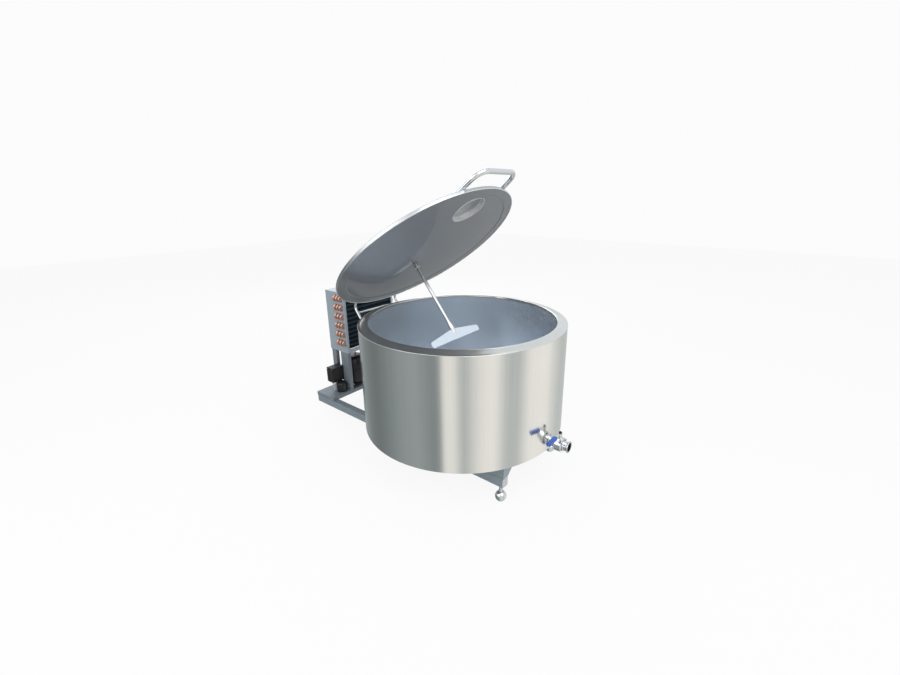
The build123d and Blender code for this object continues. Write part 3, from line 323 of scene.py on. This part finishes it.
def smooth_group():
    """Geometry nodes: smooth faces, with edges sharper than the crisp angle kept sharp."""
    group = bpy.data.node_groups.new("crisp_edges", "GeometryNodeTree")
    group.interface.new_socket("Geometry", in_out="INPUT", socket_type="NodeSocketGeometry")
    group.interface.new_socket("Geometry", in_out="OUTPUT", socket_type="NodeSocketGeometry")
    parts, join = group.nodes, group.links
    inputs = parts.new("NodeGroupInput")
    outputs = parts.new("NodeGroupOutput")
    angle = parts.new("GeometryNodeInputMeshEdgeAngle")
    below = parts.new("FunctionNodeCompare")
    below.operation = "LESS_THAN"
    below.inputs[1].default_value = crisp_angle
    faces = parts.new("GeometryNodeSetShadeSmooth")
    faces.domain = "FACE"
    edges = parts.new("GeometryNodeSetShadeSmooth")
    edges.domain = "EDGE"
    join.new(angle.outputs["Unsigned Angle"], below.inputs[0])
    join.new(inputs.outputs[0], faces.inputs["Geometry"])
    join.new(faces.outputs[0], edges.inputs["Geometry"])
    join.new(below.outputs[0], edges.inputs["Shade Smooth"])
    join.new(edges.outputs[0], outputs.inputs[0])
    return group


crisp_edges = smooth_group()
merge_within = 0.00001


def dress(finish, *names):
    """Gives CAD nodes a finish, and shades their curved faces smooth."""
    for name in names:
        node = nodes[name]
        for place in node.material_slots:
            place.link = "OBJECT"
            place.material = finish
        weld = node.modifiers.new("weld", "WELD")
        weld.merge_threshold = merge_within
        smooth = node.modifiers.new("smooth", "NODES")
        smooth.node_group = crisp_edges


def add_piece(piece, finish, body):
    """A new piece with its finish and the body that it rides on."""
    piece.data.materials.append(finish)
    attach(piece, body)
    return piece


wall_steel = metal_finish("wall_steel", (0.765, 0.76, 0.74), 0.17, (260, 260, 2.0), 0.12, 0.06,
                          bump=0.05)
dress(wall_steel, "outer_shell", "bottom_pan")
shell_low, shell_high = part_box("outer_shell")
tank_y = (shell_low[1] + shell_high[1]) / 2
shell_radius = (shell_high[0] - shell_low[0]) / 2


def tube_points(path, radius, around=12):
    """Rings of a radius round each point of a path, square to its local direction."""
    path = np.asarray(path, float)
    along = np.gradient(path, axis=0)
    along /= np.linalg.norm(along, axis=1)[:, None]
    upright = np.abs(along[:, 2:]) > 0.9
    helper = np.where(upright, np.array([[1.0, 0, 0]]), np.array([[0, 0, 1.0]]))
    side = np.cross(along, helper)
    side /= np.linalg.norm(side, axis=1)[:, None]
    lift = np.cross(along, side)
    turn = np.linspace(0, 2 * np.pi, around, endpoint=False)
    radius = np.broadcast_to(np.asarray(radius, float), (len(path),))[:, None, None]
    cosines, sines = np.cos(turn)[None, :, None], np.sin(turn)[None, :, None]
    ring = side[:, None] * cosines + lift[:, None] * sines
    return path[:, None] + radius * ring


def bead_piece(name, path, radius, ripple=0.2, pitch=0.004):
    """A weld bead: a tube along a path whose radius rises and falls once in each pitch.

    Its two ends taper to a fifth of the radius."""
    path = np.asarray(path, float)
    run = np.concatenate([[0], np.cumsum(np.linalg.norm(np.diff(path, axis=0), axis=1))])
    bead = radius * (1 + ripple * np.sin(2 * np.pi * run / pitch))
    bead[0] = bead[-1] = radius * 0.2
    return grid_piece(name, tube_points(path, bead, around=8), close_columns=True)


weld_steel = metal_finish("weld_steel", (0.50, 0.49, 0.46), 0.38, (90, 90, 90), 0.2, 0.1)
back_weld_x = 0.09
back_weld_y = tank_y + math.sqrt(shell_radius**2 - back_weld_x**2)
back_weld_short = 0.004             # it ends this far from each edge of the sheet
back_weld = np.linspace((back_weld_x, back_weld_y, shell_low[2] + back_weld_short),
                        (back_weld_x, back_weld_y, shell_high[2] - back_weld_short), 300)
add_piece(bead_piece("shell_back_weld", back_weld, radius=0.0016), weld_steel, "tank")


# Rim: a sheet rolled over the crest and folded down to the wall, polished brighter than it.
# A ground weld runs round where it meets the wall.
rim_steel = metal_finish("rim_steel", (0.72, 0.72, 0.69), 0.20, (14, 14, 60), 0.10, 0.08)
dress(rim_steel, "top_rim")


def level_ring(radius, y, z, steps, ends_meet=False):
    """Points round a level circle about (0, y, z), clockwise from its rear."""
    turn = np.linspace(0, 2 * np.pi, steps, endpoint=ends_meet)
    return np.stack([radius * np.sin(turn), y + radius * np.cos(turn), np.full(steps, z)], 1)


def ring_piece(name, ring, radius, around):
    """A closed tube along a ring of points."""
    return grid_piece(name, tube_points(ring, radius, around), close_rows=True, close_columns=True)


seam_steel = metal_finish("seam_steel", (0.75, 0.75, 0.73), 0.18, (30, 30, 30), 0.1, 0.05)
seam_ring = level_ring(shell_radius, tank_y, shell_high[2], 720)
add_piece(ring_piece("rim_seam", seam_ring, radius=0.0013, around=8), seam_steel, "tank")


# Milk vessel: satin sheet, its wall grained round the tank and its floor sloping to the outlet.
# The evaporator plate under the floor has the same finish.
vessel_steel = metal_finish("vessel_steel", (0.78, 0.83, 0.88), 0.26, (4, 4, 180), 0.06, 0.16,
                            satin=0.14)
dress(vessel_steel, "inner_vessel", "evaporator")


# Lid: a shallow dished cover with a lining sheet below, satin inside and brushed outside; the
# lining's grey is about half the top's, painted shade of the lid's underside.
# Its lower edge is turned and polished.  The hatch's cover is a small satin dish, its grey
# darkened as painted shade of the recess that it sits in.
# Painted shade: the lining is a darker copy of the top's steel, for the shade under the open lid.
lid_steel = metal_finish("lid_steel", (0.27, 0.28, 0.30), 0.52, (3, 120, 3), 0.08, 0.22,
                         satin=0.45, sheen=0.35)
lid_top_steel = metal_finish("lid_top_steel", (0.55, 0.56, 0.57), 0.32, (3, 150, 3), 0.10, 0.08)
dress(lid_top_steel, "lid_shell")
dress(lid_steel, "lid_liner")
# Painted shade: the cover's grey is darker than the other bright steel, for the shade in the
# hatch's recess.
hatch_painted_shade = metal_finish("hatch_painted_shade", (0.42, 0.43, 0.44), 0.40, (60, 60, 60), 0.06, 0.12,
                           satin=0.3)
dress(hatch_painted_shade, "hatch_cover")
lid_edge_steel = metal_finish("lid_edge_steel", (0.88, 0.88, 0.86), 0.12, (30, 30, 30), 0.05,
                              0.05)
lid_low, lid_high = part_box("lid_shell")
lid_radius = (lid_high[0] - lid_low[0]) / 2
lid_seat = 0.8593                   # lower edge of the shut lid
lid_top = 0.8793                    # its upper face at the border, when shut
lid_crown = 0.006                   # the middle stands this much higher
lid_border, lid_flat = 0.400, 0.220     # radii between which it slopes up
hinge_y, hinge_z = 0.432, 0.663
lid_open = math.radians(38.3)


def on_open_lid(points):
    """Points of the shut lid, turned back about the hinge axis to where the lid stands."""
    x, y, z = np.moveaxis(np.asarray(points, float), -1, 0)
    y, z = y - hinge_y, z - hinge_z
    return np.stack([x, hinge_y + y * math.cos(lid_open) + z * math.sin(lid_open),
                     hinge_z - y * math.sin(lid_open) + z * math.cos(lid_open)], -1)


edge_radius = 0.0022
edge_inset = 0.0008                 # the roll's centre, in from the lid's outer face
edge_ring = level_ring(lid_radius - edge_inset, tank_y, lid_seat + edge_radius, 720)
add_piece(ring_piece("lid_edge_roll", on_open_lid(edge_ring), edge_radius, around=10),
          lid_edge_steel, "lid")


# Bright fittings: handle, hinge arms, stirrer, outlet and its valve, all polished stainless
# tube, bar and plate.  The hatch's collar is satin, and paler than the other steel as painted
# light, so that it shows as a bright crescent from below.
bright_steel = metal_finish("bright_steel", (0.72, 0.73, 0.74), 0.16, (40, 40, 40), 0.06, 0.08)
blade_steel = metal_finish("blade_steel", (0.80, 0.86, 0.92), 0.20, (120, 6, 6), 0.08, 0.06)
bar_steel = metal_finish("bar_steel", (0.56, 0.56, 0.56), 0.20, (40, 40, 40), 0.06, 0.10)
dress(bright_steel, "lid_handle", "hinge_frame", "hinge_lugs", "hinge_pins",
      "outlet_pipe", "valve_body", "valve_bolts", "outlet_ferrule", "valve_disc", "valve_lever")
dress(bar_steel, "agitator_shaft", "shaft_coupling", "agitator_hub")
dress(blade_steel, "agitator_blade")
# Painted light: the collar's grey is raised above the other bright steel, for a lit crescent
# inside the hatch.
collar_painted_light = metal_finish("collar_painted_light", (0.88, 0.88, 0.87), 0.24, (60, 60, 60), 0.06, 0.06,
                            satin=0.5)
dress(collar_painted_light, "hatch_collar")


# Welds on the lid: a bead round the collar, and short beads down both sides of each tube foot.
hatch_y = -0.604
collar_radius = 0.1012
weld_z = lid_top + 0.0008           # a bead's centre, just above the lid's border
collar_bead = level_ring(collar_radius, hatch_y, weld_z, 400, ends_meet=True)
from_axis = np.hypot(collar_bead[:, 0], collar_bead[:, 1] - tank_y)
collar_bead[:, 2] += lid_crown * np.clip((lid_border - from_axis) / (lid_border - lid_flat), 0, 1)
add_piece(bead_piece("collar_weld", on_open_lid(collar_bead), radius=0.0022), weld_steel, "lid")
# Each pair of tube feet: x and y where the beads start and end on the right one, tube radius.
tube_feet = [("handle", (0.185, -0.640), (0.178, -0.725), 0.014),
             ("arm", (0.178, 0.222), (0.178, 0.300), 0.008)]
bead_aside, bead_thick = 0.55, 0.2  # shares of the tube's radius
for foot_name, start, end, foot_radius in tube_feet:
    for side in (-1, 1):
        for edge_side in (-1, 1):
            aside = edge_side * foot_radius * bead_aside
            line = np.linspace((side * start[0] + aside, start[1], weld_z),
                               (side * end[0] + aside, end[1], weld_z), 60)
            foot_bead = bead_piece("%s_weld_%d_%d" % (foot_name, side, edge_side),
                                   on_open_lid(line), foot_radius * bead_thick)
            add_piece(foot_bead, weld_steel, "lid")


# Outlet weld: a bead round the pipe where it leaves the curved wall.
outlet_low, outlet_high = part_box("outlet_pipe")
outlet_z = (outlet_low[2] + outlet_high[2]) / 2
outlet_turn = np.linspace(0, 2 * np.pi, 160)
outlet_weld_radius = 0.0275
outlet_weld_out = 0.0006            # the bead's centre, out from the wall's face
outlet_x = outlet_weld_radius * np.cos(outlet_turn)
outlet_y = tank_y - np.sqrt(shell_radius**2 - outlet_x**2) - outlet_weld_out
outlet_height = outlet_z + outlet_weld_radius * np.sin(outlet_turn)
outlet_bead = np.stack([outlet_x, outlet_y, outlet_height], 1)
add_piece(bead_piece("outlet_weld", outlet_bead, radius=0.0020), weld_steel, "tank")


# Paint, plastic and rubber: plain finishes with a little unevenness from moulding or dust.
def dust_group():
    """Dust and handling: a base colour lightened in soft patches, and rougher there."""
    group = bpy.data.node_groups.new("light_dust", "ShaderNodeTree")
    sockets = group.interface
    sockets.new_socket("Colour", in_out="INPUT", socket_type="NodeSocketColor")
    sockets.new_socket("Dust", in_out="INPUT", socket_type="NodeSocketColor")
    sockets.new_socket("Amount", in_out="INPUT", socket_type="NodeSocketFloat")
    sockets.new_socket("Roughness", in_out="INPUT", socket_type="NodeSocketFloat")
    sockets.new_socket("Colour", in_out="OUTPUT", socket_type="NodeSocketColor")
    sockets.new_socket("Roughness", in_out="OUTPUT", socket_type="NodeSocketFloat")
    parts, join = group.nodes, group.links
    inputs = parts.new("NodeGroupInput")
    outputs = parts.new("NodeGroupOutput")
    place = parts.new("ShaderNodeTexCoord")
    patches = parts.new("ShaderNodeTexNoise")
    patches.inputs["Scale"].default_value = 18.0
    patches.inputs["Detail"].default_value = 5.0
    share = parts.new("ShaderNodeMath")
    share.operation = "MULTIPLY"
    blend = parts.new("ShaderNodeMix")
    blend.data_type = "RGBA"
    rough = parts.new("ShaderNodeMath")
    rough.operation = "MULTIPLY_ADD"
    rough.inputs[1].default_value = 0.5
    join.new(place.outputs["Object"], patches.inputs["Vector"])
    join.new(patches.outputs[0], share.inputs[0])
    join.new(inputs.outputs["Amount"], share.inputs[1])
    join.new(share.outputs[0], blend.inputs[0])
    join.new(inputs.outputs["Colour"], blend.inputs[6])
    join.new(inputs.outputs["Dust"], blend.inputs[7])
    join.new(blend.outputs[2], outputs.inputs["Colour"])
    join.new(share.outputs[0], rough.inputs[0])
    join.new(inputs.outputs["Roughness"], rough.inputs[2])
    join.new(rough.outputs[0], outputs.inputs["Roughness"])
    return group


light_dust = dust_group()


def coated_finish(name, colour, roughness, amount=0.1, metallic=0.0, gloss=0.5):
    """Paint, zinc, plastic or rubber under an amount of the dust above."""
    finish = bpy.data.materials.new(name)
    finish.use_nodes = True
    parts, join = finish.node_tree.nodes, finish.node_tree.links
    coat = parts["Principled BSDF"]
    coat.inputs["Metallic"].default_value = metallic
    coat.inputs["Specular IOR Level"].default_value = gloss
    dust = parts.new("ShaderNodeGroup")
    dust.node_tree = light_dust
    dust.inputs["Colour"].default_value = (*colour, 1)
    dust.inputs["Dust"].default_value = (0.45, 0.44, 0.42, 1)
    dust.inputs["Amount"].default_value = amount
    dust.inputs["Roughness"].default_value = roughness
    join.new(dust.outputs["Colour"], coat.inputs["Base Color"])
    join.new(dust.outputs["Roughness"], coat.inputs["Roughness"])
    return finish


# Frame: two long box beams with white end caps, cross tubes, and saddles that carry the tank.
frame_paint = coated_finish("frame_steel", (0.33, 0.39, 0.44), 0.38, 0.12, 0.5)
cap_plastic = coated_finish("cap_plastic", (0.62, 0.63, 0.64), 0.45, 0.1)
dress(frame_paint, "left_beam", "right_beam", "cross_tubes", "saddles")
dress(cap_plastic, "beam_end_caps")
saddle_low, saddle_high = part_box("saddles")
saddle_length = 0.120
saddle_weld_short = 0.004           # it ends this far from each end of the plate
saddle_weld_out = 0.0004            # the bead's centre, out from the plate and up from the beam
for side, plate_x in ((-1, saddle_low[0]), (1, saddle_high[0])):
    for end_name, start_y in (("front", saddle_low[1]), ("rear", saddle_high[1] - saddle_length)):
        x, z = plate_x + side * saddle_weld_out, saddle_low[2] + saddle_weld_out
        line = np.linspace((x, start_y + saddle_weld_short, z),
                           (x, start_y + saddle_length - saddle_weld_short, z), 90)
        saddle_bead = bead_piece("saddle_weld_%s_%d" % (end_name, side), line, radius=0.0018)
        add_piece(saddle_bead, weld_steel, "tank")


# Levelling feet: polished balls on threaded stems.  The thread is a ridge wound up the stem.
foot_chrome = metal_finish("foot_chrome", (0.68, 0.69, 0.71), 0.14, (50, 50, 50), 0.05, 0.1)
dress(foot_chrome, "foot_sockets")
thread_radius = 0.0083
thread_depth = 0.0009
thread_pitch = 0.0025
thread_low, thread_high = 0.056, 0.0915
for foot in ("foot_front_left", "foot_front_right", "foot_rear_left", "foot_rear_right"):
    dress(foot_chrome, foot)
    foot_low, foot_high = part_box(foot)
    foot_x = (foot_low[0] + foot_high[0]) / 2
    foot_y = (foot_low[1] + foot_high[1]) / 2
    height = np.linspace(thread_low, thread_high, 120)[:, None]
    turn = np.linspace(0, 2 * np.pi, 24, endpoint=False)[None]
    ridge = thread_radius + thread_depth * np.cos(2 * np.pi * height / thread_pitch - turn)
    thread = np.stack([foot_x + ridge * np.cos(turn), foot_y + ridge * np.sin(turn),
                       height + 0 * turn], -1)
    add_piece(grid_piece(foot + "_thread", thread, close_columns=True), foot_chrome, foot)


# Condensing unit: galvanised sheet round a finned coil, on four posts over a base pan.  The
# posts and the pan have a darker and rougher copy of the sheet's finish.
galvanised = coated_finish("galvanised", (0.42, 0.49, 0.55), 0.38, 0.22, 0.4)
dress(galvanised, "coil_rails", "coil_end_plates", "fan_shroud")
darker_galvanised = coated_finish("darker_galvanised", (0.20, 0.24, 0.28), 0.50, 0.22, 0.3)
dress(darker_galvanised, "base_pan", "coil_posts")


# Fasteners of the unit: pan-head screws down the coil's end plates.  A head is a short prism
# with a narrower top; more sides make it round, and six make a bolt or nut.
def heads_piece(name, places, out, radius, height, sides=12):
    """Heads at places, standing out along a unit direction: a prism with a chamfered top."""
    out = np.asarray(out, float)
    helper = np.array([0, 0, 1.0]) if abs(out[2]) < 0.9 else np.array([1.0, 0, 0])
    across = np.cross(out, helper)
    across /= np.linalg.norm(across)
    up = np.cross(out, across)
    turn = np.linspace(0, 2 * np.pi, sides, endpoint=False)[:, None]
    spoke = across * np.cos(turn) + up * np.sin(turn)
    layers = [(0.0, 1.0), (0.75, 1.0), (1.0, 0.8)]     # shares of the height and of the radius
    top = len(layers) - 1
    rings = np.concatenate([spoke * radius * wide + out * height * far for far, wide in layers])
    points, faces = [], []
    for place in places:
        first = len(points) * len(rings)
        points.append(rings + np.asarray(place, float))
        for layer in range(top):
            for i in range(sides):
                j = (i + 1) % sides
                a, b = first + layer * sides, first + (layer + 1) * sides
                faces.append((a + i, a + j, b + j, b + i))
        faces.append(tuple(first + top * sides + i for i in range(sides)))
        faces.append(tuple(first + sides - 1 - i for i in range(sides)))
    return mesh_piece(name, np.concatenate(points).tolist(), faces)


screw_zinc = metal_finish("screw_zinc", (0.62, 0.63, 0.64), 0.30, (200, 200, 200), 0.1, 0.1)
plate_low, plate_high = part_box("coil_end_plates")
screw_inset = 0.009
screw_from_end = 0.02
screws_down = 5
for side_name, face_x, out in (("left", plate_low[0], -1), ("right", plate_high[0], 1)):
    places = [(face_x, y, z) for y in (plate_low[1] + screw_inset, plate_high[1] - screw_inset)
              for z in np.linspace(plate_low[2] + screw_from_end, plate_high[2] - screw_from_end,
                                   screws_down)]
    screws = heads_piece("end_plate_screws_" + side_name, places, (out, 0, 0), radius=0.0036,
                         height=0.0022)
    add_piece(screws, screw_zinc, "tank")


# Coil: thin upright fins pressed on copper tubes, which turn back in bends at both ends.  The
# fins are flat, and the shade of their ripple at each tube row is painted into their colour, as
# a ladder of dark bands on the coil's face.
# The pipes between the unit and the tank are the same copper.
copper = metal_finish("copper", (0.70, 0.36, 0.26), 0.30, (60, 60, 60), 0.15, 0.35)
dress(copper, "coil_tubes", "refrigerant_pipes")
# Painted shade: the fins' colour falls to the first colour in a wave up their height, bright at
# each tube row and dark between rows.
fin_painted_shade, fin_ridge = (0.018, 0.026, 0.045), (0.085, 0.145, 0.19)
fin_dark_below, fin_bright_above = -0.2, 0.9      # levels of the painted shade's wave
fin_coat_painted_shade = coated_finish("fin_coat_painted_shade", fin_ridge, 0.40, 0.10, 0.3)
fin_parts, fin_join = fin_coat_painted_shade.node_tree.nodes, fin_coat_painted_shade.node_tree.links
tube_low, tube_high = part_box("coil_tubes")
tube_radius = 0.007
tube_rows = 12
row_pitch = (tube_high[2] - tube_low[2] - 2 * tube_radius) / (tube_rows - 1)
fin_place = fin_parts.new("ShaderNodeTexCoord")
fin_axes = fin_parts.new("ShaderNodeSeparateXYZ")
fin_phase = fin_parts.new("ShaderNodeMath")
fin_phase.operation = "MULTIPLY_ADD"
fin_phase.inputs[1].default_value = 2 * math.pi / row_pitch
fin_phase.inputs[2].default_value = -2 * math.pi * (tube_low[2] + tube_radius) / row_pitch
fin_shade_wave = fin_parts.new("ShaderNodeMath")
fin_shade_wave.operation = "COSINE"
fin_shade_mask = fin_parts.new("ShaderNodeMapRange")
fin_shade_mask.inputs["From Min"].default_value = fin_dark_below
fin_shade_mask.inputs["From Max"].default_value = fin_bright_above
fin_blend = fin_parts.new("ShaderNodeMix")
fin_blend.data_type = "RGBA"
fin_blend.inputs[6].default_value = (*fin_painted_shade, 1)
fin_blend.inputs[7].default_value = (*fin_ridge, 1)
fin_join.new(fin_place.outputs["Object"], fin_axes.inputs[0])
fin_join.new(fin_axes.outputs["Z"], fin_phase.inputs[0])
fin_join.new(fin_phase.outputs[0], fin_shade_wave.inputs[0])
fin_join.new(fin_shade_wave.outputs[0], fin_shade_mask.inputs["Value"])
fin_join.new(fin_shade_mask.outputs[0], fin_blend.inputs[0])
fin_join.new(fin_blend.outputs[2], fin_parts["Principled BSDF"].inputs["Base Color"])
fin_low, fin_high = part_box("coil_fins")
fin_pitch = 0.0036
fin_thick = 0.0005
fin_count = int((fin_high[0] - fin_low[0]) / fin_pitch)


def box_shells(name, lows, highs):
    """Many separate closed boxes in one mesh, from arrays of their low and high corners."""
    lows, highs = np.asarray(lows, float), np.asarray(highs, float)
    picks = np.array([(i, j, k) for k in (0, 1) for j in (0, 1) for i in (0, 1)])
    points = np.where(picks[None] == 1, highs[:, None], lows[:, None])
    sides = np.array([(0, 2, 3, 1), (4, 5, 7, 6), (0, 1, 5, 4), (2, 6, 7, 3), (0, 4, 6, 2),
                      (1, 3, 7, 5)])
    faces = (np.arange(len(lows))[:, None, None] * 8 + sides[None]).reshape(-1, 4)
    return mesh_piece(name, points.reshape(-1, 3).tolist(), faces.tolist())


fin_x = fin_low[0] + fin_pitch * np.arange(fin_count)
fin_lows = np.stack([fin_x, np.full(fin_count, fin_low[1]), np.full(fin_count, fin_low[2])], 1)
fin_highs = np.stack([fin_x + fin_thick, np.full(fin_count, fin_high[1]),
                      np.full(fin_count, fin_high[2])], 1)
fins = box_shells("coil_fin_stack", fin_lows, fin_highs)
add_piece(fins, fin_coat_painted_shade, "tank")
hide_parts("coil_fins")


# Fan: pitched blades behind the coil, its motor, and a guard of rings welded to spokes.  The
# compressor and the liquid receiver have the same black enamel.
black_enamel = coated_finish("black_enamel", (0.008, 0.008, 0.010), 0.30, 0.04, gloss=0.35)
dress(black_enamel, "fan_rotor", "fan_motor", "compressor", "liquid_receiver")
guard_low, guard_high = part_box("fan_guard")
guard_x = (guard_low[0] + guard_high[0]) / 2
guard_z = (guard_low[2] + guard_high[2]) / 2
guard_reach = (guard_high[0] - guard_low[0]) / 2
wire_radius = (guard_high[1] - guard_low[1]) / 2
guard_y = guard_low[1] + wire_radius
guard_middle = np.array([guard_x, guard_y, guard_z])
guard_turn = np.linspace(0, 2 * np.pi, 96, endpoint=False)
guard_circle = np.stack([np.cos(guard_turn), 0 * guard_turn, np.sin(guard_turn)], 1)
guard_ring_count, guard_ring_pitch = 12, 0.0125
guard_spoke_count = 4
ring_wire, spoke_wire = wire_radius * 0.8, wire_radius * 0.7
for i in range(guard_ring_count):
    ring = guard_middle + (guard_reach - wire_radius - guard_ring_pitch * i) * guard_circle
    ring = ring_piece("fan_guard_ring_%d" % i, ring, ring_wire, around=8)
    add_piece(ring, black_enamel, "tank")
for i in range(guard_spoke_count):
    a = math.pi * i / guard_spoke_count
    spoke_end = np.array([math.cos(a), 0, math.sin(a)]) * (guard_reach - wire_radius)
    spoke = np.linspace(guard_middle - spoke_end, guard_middle + spoke_end, 12)
    spoke = grid_piece("fan_guard_spoke_%d" % i, tube_points(spoke, spoke_wire, around=8),
                       close_columns=True)
    add_piece(spoke, black_enamel, "tank")
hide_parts("fan_guard")
guard_screw_reach = guard_reach - 0.0035
guard_screws = [(guard_x + guard_screw_reach * math.cos(a), guard_low[1],
                 guard_z + guard_screw_reach * math.sin(a))
                for a in np.radians((22, 112, 202, 292))]
add_piece(heads_piece("guard_screws", guard_screws, (0, 1, 0), radius=0.0045, height=0.0030),
          screw_zinc, "tank")


# Electrics: black control box with its cover, terminal cover, glands and white cables.  The
# hatch's knob is the same plastic, and the valve's seat the rubber of the compressor's mounts.
black_plastic = coated_finish("black_plastic", (0.008, 0.008, 0.009), 0.42, 0.04, gloss=0.25)
black_rubber = coated_finish("black_rubber", (0.016, 0.016, 0.016), 0.75, 0.12)
cable_white = coated_finish("cable_white", (0.75, 0.76, 0.78), 0.4, 0.08)
dress(black_plastic, "control_box", "control_box_cover", "terminal_cover", "cable_glands",
      "hatch_knob")
dress(black_rubber, "compressor_mounts", "valve_seat")
dress(cable_white, "control_cables")
cover_low, cover_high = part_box("control_box_cover")
cover_inset = 0.009
cover_places = [(cover_low[0], y, z)
                for y in (cover_low[1] + cover_inset, cover_high[1] - cover_inset)
                for z in (cover_low[2] + cover_inset, cover_high[2] - cover_inset)]
add_piece(heads_piece("cover_screws", cover_places, (-1, 0, 0), radius=0.0032, height=0.0018),
          screw_zinc, "tank")
mount_low, mount_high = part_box("compressor_mounts")
mount_inset = 0.0105
mount_places = [(x, y, mount_high[2])
                for x in (mount_low[0] + mount_inset, mount_high[0] - mount_inset)
                for y in (mount_low[1] + mount_inset, mount_high[1] - mount_inset)]
add_piece(heads_piece("compressor_nuts", mount_places, (0, 0, 1), radius=0.0048, height=0.0045,
                      sides=6), screw_zinc, "tank")


# Hatch seal: a dark rubber ring that lies in the cover's skirt, round the collar's edge, and
# opens with the cover.
seal_rubber = coated_finish("seal_rubber", (0.045, 0.045, 0.048), 0.7, 0.1)
seal_radius = 0.0030
seal_reach = 0.1045
cover_underside = lid_top + 0.0163
seal_ring = level_ring(seal_reach, hatch_y, cover_underside - seal_radius, 240)
add_piece(ring_piece("hatch_seal", on_open_lid(seal_ring), seal_radius, around=10), seal_rubber,
          "hatch")


# Stirrer drive: grey enamelled gearbox and ribbed motor on the lid.
drive_enamel = coated_finish("drive_enamel", (0.14, 0.17, 0.20), 0.38, 0.12)
dress(drive_enamel, "gearbox", "gear_motor")
shaft_y = -0.077
flange_top = 0.8933                  # of the shut lid's gearbox
flange_reach = 0.0615
lid_up = (0, math.sin(lid_open), math.cos(lid_open))
flange_places = on_open_lid([(flange_reach * math.cos(a), shaft_y + flange_reach * math.sin(a),
                              flange_top) for a in np.radians((0, 90, 180, 270))])
add_piece(heads_piece("gearbox_bolts", flange_places, lid_up, radius=0.0055, height=0.0042,
                      sides=6), screw_zinc, "lid")


# Valve grip: blue moulded sleeve on the lever, and a black cap on the spindle.
blue_grip = coated_finish("blue_grip", (0.03, 0.12, 0.50), 0.32, 0.05)
dress(blue_grip, "valve_grip")
lever_low, lever_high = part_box("valve_lever")
spindle_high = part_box("valve_disc")[1]
spindle_y = (lever_low[1] + lever_high[1]) / 2
cap_radius = 0.0085
cap_over = 0.0012                   # its top above the spindle's end
cap_rise = np.array([0, 0.6, 0.9, 1.0])[:, None]
cap_reach = cap_radius * np.array([1.0, 1.0, 0.75, 0.02])[:, None]
cap_turn = np.linspace(0, 2 * np.pi, 24, endpoint=False)[None]
cap_height = lever_high[2] + (spindle_high[2] + cap_over - lever_high[2]) * cap_rise
cap = np.stack([cap_reach * np.cos(cap_turn), spindle_y + cap_reach * np.sin(cap_turn),
                cap_height + 0 * cap_turn], -1)
add_piece(grid_piece("spindle_cap", cap, close_columns=True), black_plastic, "valve_spindle")


# Insulation: cream foam between the vessel and the shell, which no view shows.
foam_finish = coated_finish("foam", (0.68, 0.58, 0.34), 0.85, 0.1)
dress(foam_finish, "wall_insulation", "floor_insulation")


bpy.context.view_layer.update()
